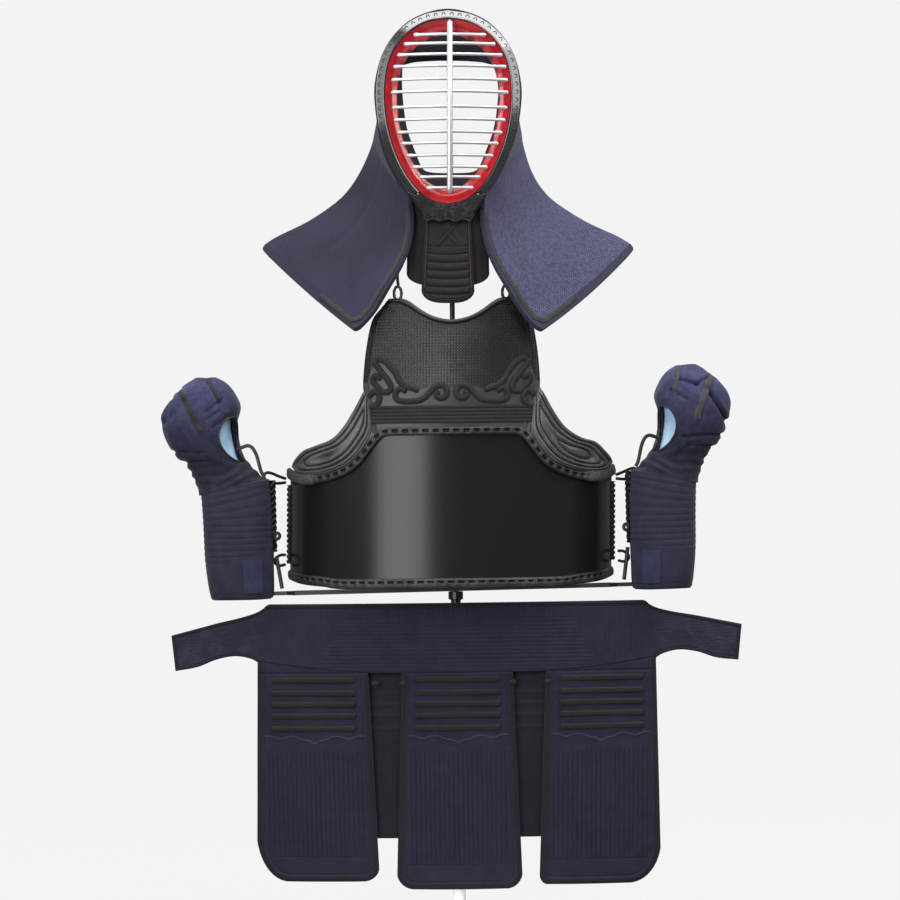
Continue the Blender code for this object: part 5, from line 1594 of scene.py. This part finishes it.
def make_tabs(finishes):
    """Four small leather tabs where the panels meet the gaps between them."""
    tabs = []
    for x in (-0.1165, -0.0775, 0.0790, 0.1285):
        bow = np.linspace(0, pi, 9)
        wide = np.sin(bow) ** 0.5 * 0.0034 + 0.0004
        line = np.stack([x + TARE_X - 0.0050 * np.cos(bow), tare_y(x) - 0.0016 + 0 * bow, 0.3722 + 0 * bow], axis=1)
        section = np.array([(cos(a), 0.55 * sin(a)) for a in np.arange(8) * pi / 4])
        tabs.append(sweep_rings(line, forward(9), section[None] * wide[:, None, None]))
    many("tare_gap_tabs", tabs, finishes["bar_braid"], 60)


# ---------------- cords


def make_cords(finishes):
    """Free cords on the points of their CAD solids: do top and side cords, wrist loops and lace ends."""
    for side, sign in SIDES:
        put = kote_place(side, sign)
        top = [(0.0755, -0.0735, 0.9358), (0.0765, -0.066, 0.9440), (0.0765, -0.046, 0.9580)]
        top += [(0.0735, -0.020, 0.9740), (0.0690, 0.0005, 0.9860)]
        upper = [(0.2405, 0.070, 0.6642), (0.250, 0.062, 0.6680), (0.259, 0.053, 0.6722), (0.266, 0.0455, 0.6735)]
        upper += [(0.2698, 0.0400, 0.6690), (0.267, 0.0425, 0.6622), (0.260, 0.050, 0.6590), (0.251, 0.058, 0.6577)]
        upper += [(0.2405, 0.066, 0.6586)]
        lower = [(0.2425, 0.066, 0.5535), (0.2485, 0.054, 0.5535), (0.2540, 0.043, 0.5500), (0.2555, 0.0375, 0.5460)]
        lower += [(0.2540, 0.043, 0.5410), (0.2485, 0.053, 0.5385), (0.2425, 0.062, 0.5395)]
        loop = [(0.0020, -0.0120, 0.2080), (-0.0082, -0.014, 0.2112), (-0.0148, -0.0155, 0.2128)]
        loop += [(-0.0212, -0.0165, 0.2090), (-0.0265, -0.017, 0.1985), (-0.0298, -0.0175, 0.1855)]
        loop += [(-0.0328, -0.018, 0.1745), (-0.0362, -0.018, 0.1690)]
        end = [(-0.051, -0.0145, 0.054), (-0.0525, -0.0165, 0.044), (-0.055, -0.0175, 0.028), (-0.058, -0.018, 0.008)]
        upper, lower = ([(SHELF_X + sign * x, y, z) for x, y, z in route] for route in (upper, lower))
        for node, name, route, radius, far_end, lay in (
            ("do_top_cord", "do_top_lace", np.array(top) * [sign, 1, 1], DO_CORD_RADIUS, "object", "taut"),
            ("do_upper_cord", "do_upper_lace", upper, DO_CORD_RADIUS, "object", "loose"),
            ("do_lower_cord", "do_lower_lace", lower, DO_CORD_RADIUS, "object", "loose"),
            ("kote_wrist_loop", "kote_wrist_lace", put(loop), 0.0026, "object", "loose"),
            ("kote_lace_end", "kote_free_lace", put(end), 0.0028, "bare", "hanging"),
        ):
            piece, length, points = cord(f"{name}_{side}", route, radius, finishes["lace"], 0.003)
            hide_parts(f"{node}_{side}")
            tuple(float(value) for value in points[0])


# ---------------- stand, finishes, light, camera


def make_finishes():
    """Every finish of the armour, by name."""

    def cloth(name, colour, thread, roughness=0.85, sheen=0.10, weave=0.0011, depth=0.0003):
        """Cotton cloth: crossed thread waves, slow fading and small flecks."""
        f = Finish(name, colour, roughness, Sheen_Weight=sheen, Sheen_Roughness=0.4, Specular_IOR_Level=0.22)
        chart, u, v = f.chart()
        fade = f.noise(f.place(), 9.0, 4.0)
        fleck = f.noise(chart, 900.0, 2.0)
        thread_wave = u.wave(weave) * v.wave(weave)
        patch = f.noise(f.place(), 55.0, 5.0, 0.7).ramp(0.42, 0.60)
        tone = fade.ramp(0.30, 0.75) * 0.30 + patch * 0.30 + fleck * 0.30 + thread_wave * 0.25
        f.set(Base_Color=f.blend(tone.lower(1.0), colour, thread))
        f.set(Roughness=fleck * 0.12 + (roughness - 0.06))
        f.relief(thread_wave * 0.5 + fleck * 0.4, depth)
        return f, chart, u, v, tone

    f, *_, tone = cloth("kote_cloth", (0.0130, 0.0130, 0.034), (0.030, 0.030, 0.072), weave=0.0013, sheen=0.12)
    # Painted shade and light: the fist cloth is painted darker low down and lighter toward its top, as light falling
    # from above would make it.
    height = f.axes(f.place())[2].ramp(0.670, 0.815)
    mottle = f.noise(f.place(), 110.0, 6.0, 0.75).ramp(0.40, 0.62)
    height_shaded_tone = f.blend(height, (0.0070, 0.0068, 0.0150), (0.0145, 0.0145, 0.0400))
    light = f.blend(height, (0.0150, 0.0148, 0.0300), (0.040, 0.042, 0.108))
    f.set(Base_Color=f.blend((tone * 0.5 + mottle * 0.5).lower(1.0) * 0.75, height_shaded_tone, light))
    cloth("cuff_cloth", (0.0080, 0.0076, 0.0175), (0.0215, 0.0205, 0.0430), weave=0.0012)
    cloth("throat_cloth", (0.0095, 0.0070, 0.0085), (0.0190, 0.0150, 0.0180), weave=0.0012, sheen=0.05)
    cloth("face_cloth", (0.013, 0.013, 0.017), (0.022, 0.022, 0.028), weave=0.0012, sheen=0.02)
    cloth("patch", (0.010, 0.011, 0.034), (0.026, 0.028, 0.062), weave=0.0008)
    cloth("piping", (0.018, 0.019, 0.042), (0.032, 0.034, 0.066), weave=0.0008)
    cloth("ridge_cloth", (0.009, 0.009, 0.0105), (0.019, 0.019, 0.0215), weave=0.0010)

    # Helmet cloth: short raised stitches in rows from the front edge back. Painted light: the dashes are painted
    # lighter on the right side, and the left side is painted darker as shade.
    f, chart, u, v, tone = cloth("men_cloth", (0.020, 0.021, 0.046), (0.044, 0.046, 0.095), depth=0.0006)
    hem, left, stitch = f.marks("hem", "left", "stitch")
    shift = f.noise(f.place(), 14.0, 2.0)
    row = (u + shift * 0.012) / 0.0024
    cell = (v / 0.0038 + row.floor() * 0.37 + shift * 2).fraction()
    band = row.fraction()
    dash = (cell - 0.5).size().ramp(0.44, 0.18) * (band - 0.5).size().ramp(0.42, 0.12)
    fade = f.noise(f.place(), 7.0, 4.0).ramp(0.3, 0.7)
    dash_pattern_and_light = ((1 - left) * 0.75 + 0.16) * (f.noise(chart, 160.0, 2.0).ramp(0.30, 0.62) * 0.8 + 0.2)
    plain = f.blend(fade * 0.6 + tone * 0.3, (0.0150, 0.0150, 0.034), (0.036, 0.0365, 0.082))
    grained = f.blend(dash * dash_pattern_and_light, plain, (0.092, 0.092, 0.165))
    # Painted shade: the left side of the cloth is painted darker.
    grained = f.blend(left * 0.80, grained, f.blend(fade, (0.0078, 0.0075, 0.0150), (0.0130, 0.0128, 0.0270)))
    sewn = f.blend((stitch * 0.8).lower(1.0), grained, (0.012, 0.012, 0.026))
    f.set(Base_Color=f.blend(hem.lower(1.0) * 0.85, sewn, (0.0125, 0.0125, 0.026)))
    f.relief(dash * dash_pattern_and_light + tone * 0.2, 0.0005)

    def bound(name, colour, thread):
        f, *_, tone = cloth(name, colour, thread)
        edge, seam, rib, line = f.marks("binding", "seam", "rib", "line")
        mottle = f.noise(f.place(), 38.0, 7.0, 0.78).ramp(0.44, 0.62)
        bluish = tuple(1.15 * part * share for part, share in zip(thread, (0.85, 0.95, 1.45)))
        woven = f.blend(mottle * 0.42, f.blend(tone.lower(1.0), colour, thread), bluish)
        # Painted shade: the cloth is painted darker toward the outer ends of the belt, the straps and the panels'
        # outer edges.
        outward = f.axes(f.place())[0].size().ramp(0.262, 0.300)
        woven = f.blend(outward * 0.6, woven, f.blend(mottle, (0.0125, 0.0118, 0.0250), (0.0240, 0.0235, 0.0460)))
        sewn = f.blend(seam * 0.35, woven, (0.022, 0.025, 0.038))
        # Painted shade: the grooves between the sewn ribs are painted darker.
        ribs = f.blend(rib * 0.55, sewn, tuple(0.45 * part for part in colour))
        curved = f.blend(line * 0.55, ribs, (0.036, 0.042, 0.064))
        f.set(Base_Color=f.blend(edge * 0.75, curved, (0.0066, 0.0064, 0.0076)))

    bound("belt_cloth", (0.0070, 0.0064, 0.0140), (0.0140, 0.0132, 0.0265))
    bound("strap_cloth", (0.0085, 0.0078, 0.0165), (0.0170, 0.0160, 0.0310))
    bound("panel_cloth", (0.0070, 0.0064, 0.0140), (0.0140, 0.0132, 0.0265))
    # Painted shade: the panels behind get a darker copy of the panel cloth.
    bound("rear_shaded_cloth", (0.0052, 0.0048, 0.0075), (0.0100, 0.0094, 0.0140))

    def braid(name, colour, light, pitch=0.0011):
        """Braided cord: fine slanting threads over a slow change of tone."""
        f = Finish(name, colour, 0.72, Specular_IOR_Level=0.25, Sheen_Weight=0.06)
        _, u, v = f.chart()
        fine = (u * 0.8 + v).wave(pitch)
        fade = f.noise(f.place(), 120.0, 3.0)
        f.set(Base_Color=f.blend((fine * 0.5 + fade * 0.6).lower(1.0), colour, light))
        f.relief(fine, 0.0002)

    braid("braid", (0.0055, 0.0050, 0.0048), (0.0210, 0.0190, 0.0170))
    # Painted light: a lighter copy of the braid for the right gauntlet, as if lit from the right.
    braid("lit_pale_braid", (0.009, 0.008, 0.008), (0.056, 0.052, 0.050))
    braid("edge_braid", (0.006, 0.006, 0.006), (0.029, 0.029, 0.028))
    braid("bar_braid", (0.0048, 0.0048, 0.0042), (0.0115, 0.0112, 0.0092))
    braid("scroll_cord", (0.0045, 0.0045, 0.0050), (0.0120, 0.0120, 0.0130))
    braid("stitch", (0.006, 0.006, 0.008), (0.020, 0.020, 0.026))

    def leather(name, colour, light, roughness, scale=900.0, depth=0.00025, coat=0.0):
        """Leather: small cells for the grain, a slow change of tone and wear, and roughness that follows both."""
        f = Finish(name, colour, roughness, Coat_Weight=coat, Coat_Roughness=0.12)
        place = f.place()
        cells = f.node("ShaderNodeTexVoronoi", {}, {"Vector": place, "Scale": scale})
        fade = f.noise(place, 26.0, 5.0)
        tone = f.blend(fade.ramp(0.35, 0.72), colour, light)
        f.set(Base_Color=tone, Roughness=fade * 0.22 + (roughness - 0.11))
        f.relief(cells + fade * 0.6, depth)
        return f, fade, tone

    leather("rim_leather", (0.008, 0.009, 0.010), (0.016, 0.017, 0.019), 0.20, coat=1.0, depth=0.00006)
    f, fade, _ = leather("laced_leather", (0.014, 0.0138, 0.016), (0.030, 0.0295, 0.034), 0.40)
    f.shader.inputs["Specular IOR Level"].default_value = 0.25
    slots, ends = f.marks("slots", "ends")
    wear_and_highlight = (fade.ramp(0.35, 0.72) * 0.4 + ends * 0.6).lower(1.0)
    tone = f.blend(wear_and_highlight, (0.013, 0.0128, 0.015), (0.060, 0.059, 0.066))
    f.set(Base_Color=f.blend(slots, tone, (0.004, 0.004, 0.005)))

    pair = (0.0026, 0.0026, 0.0029), (0.0200, 0.0190, 0.0195)
    f, *_ = leather("chin_leather", *pair, 0.50, scale=420.0, depth=0.0006)
    f.shader.inputs["Specular IOR Level"].default_value = 0.12
    wear_and_highlight = f.noise(f.place(), 190.0, 6.0, 0.75).ramp(0.46, 0.66)
    tone = f.blend(wear_and_highlight, (0.0024, 0.0024, 0.0027), (0.020, 0.019, 0.020))
    # Painted shade: the chin leather is painted darker toward its sides.
    f.set(Base_Color=f.blend(f.axes(f.place())[0].size().ramp(0.026, 0.044), tone, (0.0026, 0.0026, 0.0029)))

    f, _, tone = leather("pad_leather", (0.040, 0.040, 0.043), (0.078, 0.078, 0.085), 0.34)
    # Painted shade: the grooves between the padded ribs are painted near black.
    f.set(Base_Color=f.blend(f.marks("groove")[0] * 0.8, tone, (0.003, 0.003, 0.0035)))
    leather("kote_binding", (0.006, 0.006, 0.008), (0.012, 0.0115, 0.014), 0.55)
    leather("palm_leather", (0.22, 0.36, 0.50), (0.40, 0.55, 0.70), 0.75, scale=500.0, depth=0.0003)
    leather("dark_metal", (0.020, 0.020, 0.022), (0.05, 0.05, 0.055), 0.30, depth=0.00005)

    # Chest leather: a fine basket weave of short raised strands, crossing on the slant.
    f = Finish("chest_leather", (0.012, 0.012, 0.013), 0.44, Specular_IOR_Level=0.22)
    _, u, v = f.chart()
    first, second = (u + v) / 0.0042, (u - v) / 0.0042
    turned = ((first.floor() + second.floor()) * 0.5).fraction().ramp(0.2, 0.3)
    first, second = ((way.fraction() - 0.5).size() for way in (first, second))
    one, two = (a.ramp(0.46, 0.14) * b.ramp(0.50, 0.38) for a, b in ((first, second), (second, first)))
    ridge = one * turned + two * (1 - turned) * 0.35
    ground, edge = f.marks("ground", "edge")
    plain = ground.higher(edge)
    fade = f.noise(f.place(), 22.0, 4.0)
    # Painted highlight: the weave is painted lighter in a broad band just left of the middle, standing in for a
    # reflection.
    wear_and_highlight = (u + 0.014).size().ramp(0.075, 0.0) * 0.85 + 0.15
    weave_and_highlight_tone = (fade.ramp(0.35, 0.7) * 0.25 + ridge * 0.75) * wear_and_highlight * (1 - plain)
    patterned = f.blend(weave_and_highlight_tone, (0.0065, 0.0065, 0.0070), (0.060, 0.060, 0.065))
    smooth = f.blend(fade.ramp(0.3, 0.7), (0.030, 0.030, 0.034), (0.046, 0.045, 0.050))
    f.set(Base_Color=f.blend(ground, patterned, smooth))
    f.set(Roughness=fade * 0.16 + 0.30)
    f.relief(ridge * (1 - plain), 0.0007)

    f = Finish("red_lacquer", (0.50, 0.020, 0.024), 0.22, Coat_Weight=1.0, Coat_Roughness=0.06)
    fade = f.noise(f.place(), 35.0, 4.0)
    # Painted shade: this mark paints dark teeth on the red, for the shadows of the bars.
    painted_shade_teeth = f.marks("painted_shade_teeth")[0]
    red = f.blend(fade.ramp(0.3, 0.75), (0.40, 0.014, 0.020), (0.56, 0.030, 0.034))
    f.set(Base_Color=f.blend(painted_shade_teeth * 0.85, red, (0.020, 0.006, 0.008)))
    f.set(Roughness=fade * 0.16 + 0.16)
    f.relief(f.noise(f.place(), 260.0, 2.0), 0.00006)

    f = Finish("bar_metal", (0.45, 0.45, 0.47), 0.3, 0.6)
    scratch = f.noise(f.place(), 420.0, 4.0)
    f.set(Roughness=scratch * 0.14 + 0.28)
    f.set(Base_Color=f.blend(scratch, (0.38, 0.38, 0.40), (0.50, 0.50, 0.52)))
    f.relief(scratch, 0.00001)

    f = Finish("black_lacquer", (0.0066, 0.0070, 0.0088), 0.22, Specular_IOR_Level=0.24)
    haze = f.noise(f.place(), 18.0, 3.0)
    f.set(Roughness=haze * 0.03 + 0.225)
    f.relief(f.noise(f.place(), 150.0, 2.0), 0.00001)

    for name, blue, roughness in (("lace", 0.0065, 0.36), ("dark_cord", 0.007, 0.40)):
        f = Finish(name, (0.006, 0.006, blue), roughness)
        x, y, z = f.axes(f.place())
        twist = (x + y + z * 1.4).wave(0.0016)
        fleck = f.noise(f.place(), 700.0, 2.0)
        f.set(Base_Color=f.blend(twist * 0.5 + fleck * 0.5, (0.004, 0.004, 0.0045), (0.017, 0.0165, 0.018)))
        f.relief(twist, 0.0004)

    f = Finish("stand_metal", (0.010, 0.010, 0.011), 0.35, 0.2)
    fleck = f.noise(f.place(), 500.0, 3.0)
    f.set(Roughness=fleck * 0.2 + 0.28)
    f.relief(fleck, 0.00008)

    # Painted glow: the pale paint has a faint emission so the lower stand blends with the backdrop.
    f = Finish("pale_paint", (0.9, 0.9, 0.9), 0.5, Emission_Color=SKY, Emission_Strength=0.16)
    fleck = f.noise(f.place(), 300.0, 3.0)
    f.set(Base_Color=f.blend(fleck, (0.88, 0.88, 0.88), (0.93, 0.93, 0.93)), Roughness=fleck * 0.15 + 0.42)
    f.relief(fleck, 0.00006)
    return Finish.made


def finish_stand(frame, finishes):
    """The stand's nodes stay, in painted metal: black where it shows behind the armour, pale below, the pale paint
    glowing faintly as painted light.
    """
    for node, thing in frame["nodes"].items():
        if node.startswith("stand_"):
            paint = finishes["pale_paint" if node in ("stand_base", "stand_column") else "stand_metal"]
            thing.data.materials.clear()
            thing.data.materials.append(paint)


def area_light(name, place, aim, width, height, power, colour=(1, 1, 1)):
    """A rectangular soft light turned toward a point."""
    lamp = bpy.data.lights.new(name, "AREA")
    lamp.shape = "RECTANGLE"
    lamp.size, lamp.size_y, lamp.energy, lamp.color = width, height, power, colour
    holder = hold(name, lamp)
    away = np.array(place, float) - np.array(aim, float)
    side = unit(np.cross([0, 0, 1.0], away))
    up = np.cross(unit(away), side)
    turned = np.column_stack([side, up, unit(away), place])
    holder.matrix_world = Matrix([*turned.tolist(), [0, 0, 0, 1]])


def light_scene():
    """A pale sky behind everything, a dim room round the armour, and six soft boxes."""
    world = bpy.data.worlds.new("studio")
    bpy.context.scene.world = world
    world.use_nodes = True
    tree = world.node_tree
    room = tree.nodes["Background"]
    room.inputs["Color"].default_value = (1.0, 1.0, 1.02, 1)
    room.inputs["Strength"].default_value = 0.24
    sky = tree.nodes.new("ShaderNodeBackground")
    sky.inputs["Color"].default_value = SKY
    ray = tree.nodes.new("ShaderNodeLightPath")
    mix = tree.nodes.new("ShaderNodeMixShader")
    tree.links.new(ray.outputs["Is Camera Ray"], mix.inputs[0])
    tree.links.new(room.outputs[0], mix.inputs[1])
    tree.links.new(sky.outputs[0], mix.inputs[2])
    tree.links.new(mix.outputs[0], tree.nodes["World Output"].inputs[0])
    area_light("strip", (-1.64, -3.33, 0.75), (0, 0, 0.75), 1.75, 3.2, 142)
    area_light("key", (1.0, -2.4, 2.7), (0, 0, 0.8), 2.0, 2.0, 62)
    area_light("top", (0.60, -0.55, 3.05), (0.60, -0.06, 1.2), 3.8, 1.0, 100)
    area_light("fill", (-2.6, -1.6, 1.8), (0, 0, 0.8), 1.6, 1.6, 22)
    area_light("left", (-1.9, -0.5, 2.0), (0, -0.5, 2.0), 0.9, 1.8, 9)
    area_light("right", (2.1, -0.6, 2.0), (0, -0.4, 1.2), 0.9, 1.6, 20)


def make_floor():
    """A round pale floor in the sky's tone. It gives the armour no light, so it shows in nothing glossy."""
    count = 128
    angle = np.arange(count) * 2 * pi / count
    points = np.stack([3.0 * np.cos(angle), 3.0 * np.sin(angle), 0 * angle - 0.0002], axis=1)
    mesh = bpy.data.meshes.new("floor")
    mesh.from_pydata(points.tolist(), [], [list(range(count))])
    floor = hold("floor", mesh)
    floor.visible_glossy = False
    floor.visible_diffuse = False
    f = Finish("floor_paper", (0.02, 0.02, 0.02), 0.9)
    f.shader.inputs["Specular IOR Level"].default_value = 0.0
    f.shader.inputs["Emission Color"].default_value = SKY
    f.shader.inputs["Emission Strength"].default_value = FLOOR_GLOW
    mesh.materials.append(f.material)


def place_camera():
    """A level camera 4 m in front of the armour, rolled very slightly."""
    lens = bpy.data.cameras.new("camera")
    lens.sensor_width = SENSOR
    lens.lens = SENSOR * CAMERA_AWAY / VIEW_WIDTH
    holder = hold("camera", lens)
    turn = Matrix.Rotation(MEN_TURN, 4, "Y") @ Matrix.Rotation(pi / 2, 4, "X")
    holder.matrix_world = Matrix.Translation((-0.0057, -CAMERA_AWAY, 0.703)) @ turn
    bpy.context.scene.camera = holder


def main():
    """Builds the scene round the loaded frame."""
    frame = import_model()
    bpy.context.scene.view_settings.view_transform = "Standard"
    place_camera()
    finishes = make_finishes()
    make_cords(finishes)
    make_floor()
    light_scene()
    finish_stand(frame, finishes)
    make_men(finishes)
    make_do(finishes)
    for side, sign in SIDES:
        make_kote(finishes, side, sign)
    make_tare(finishes)
    make_tabs(finishes)


main()
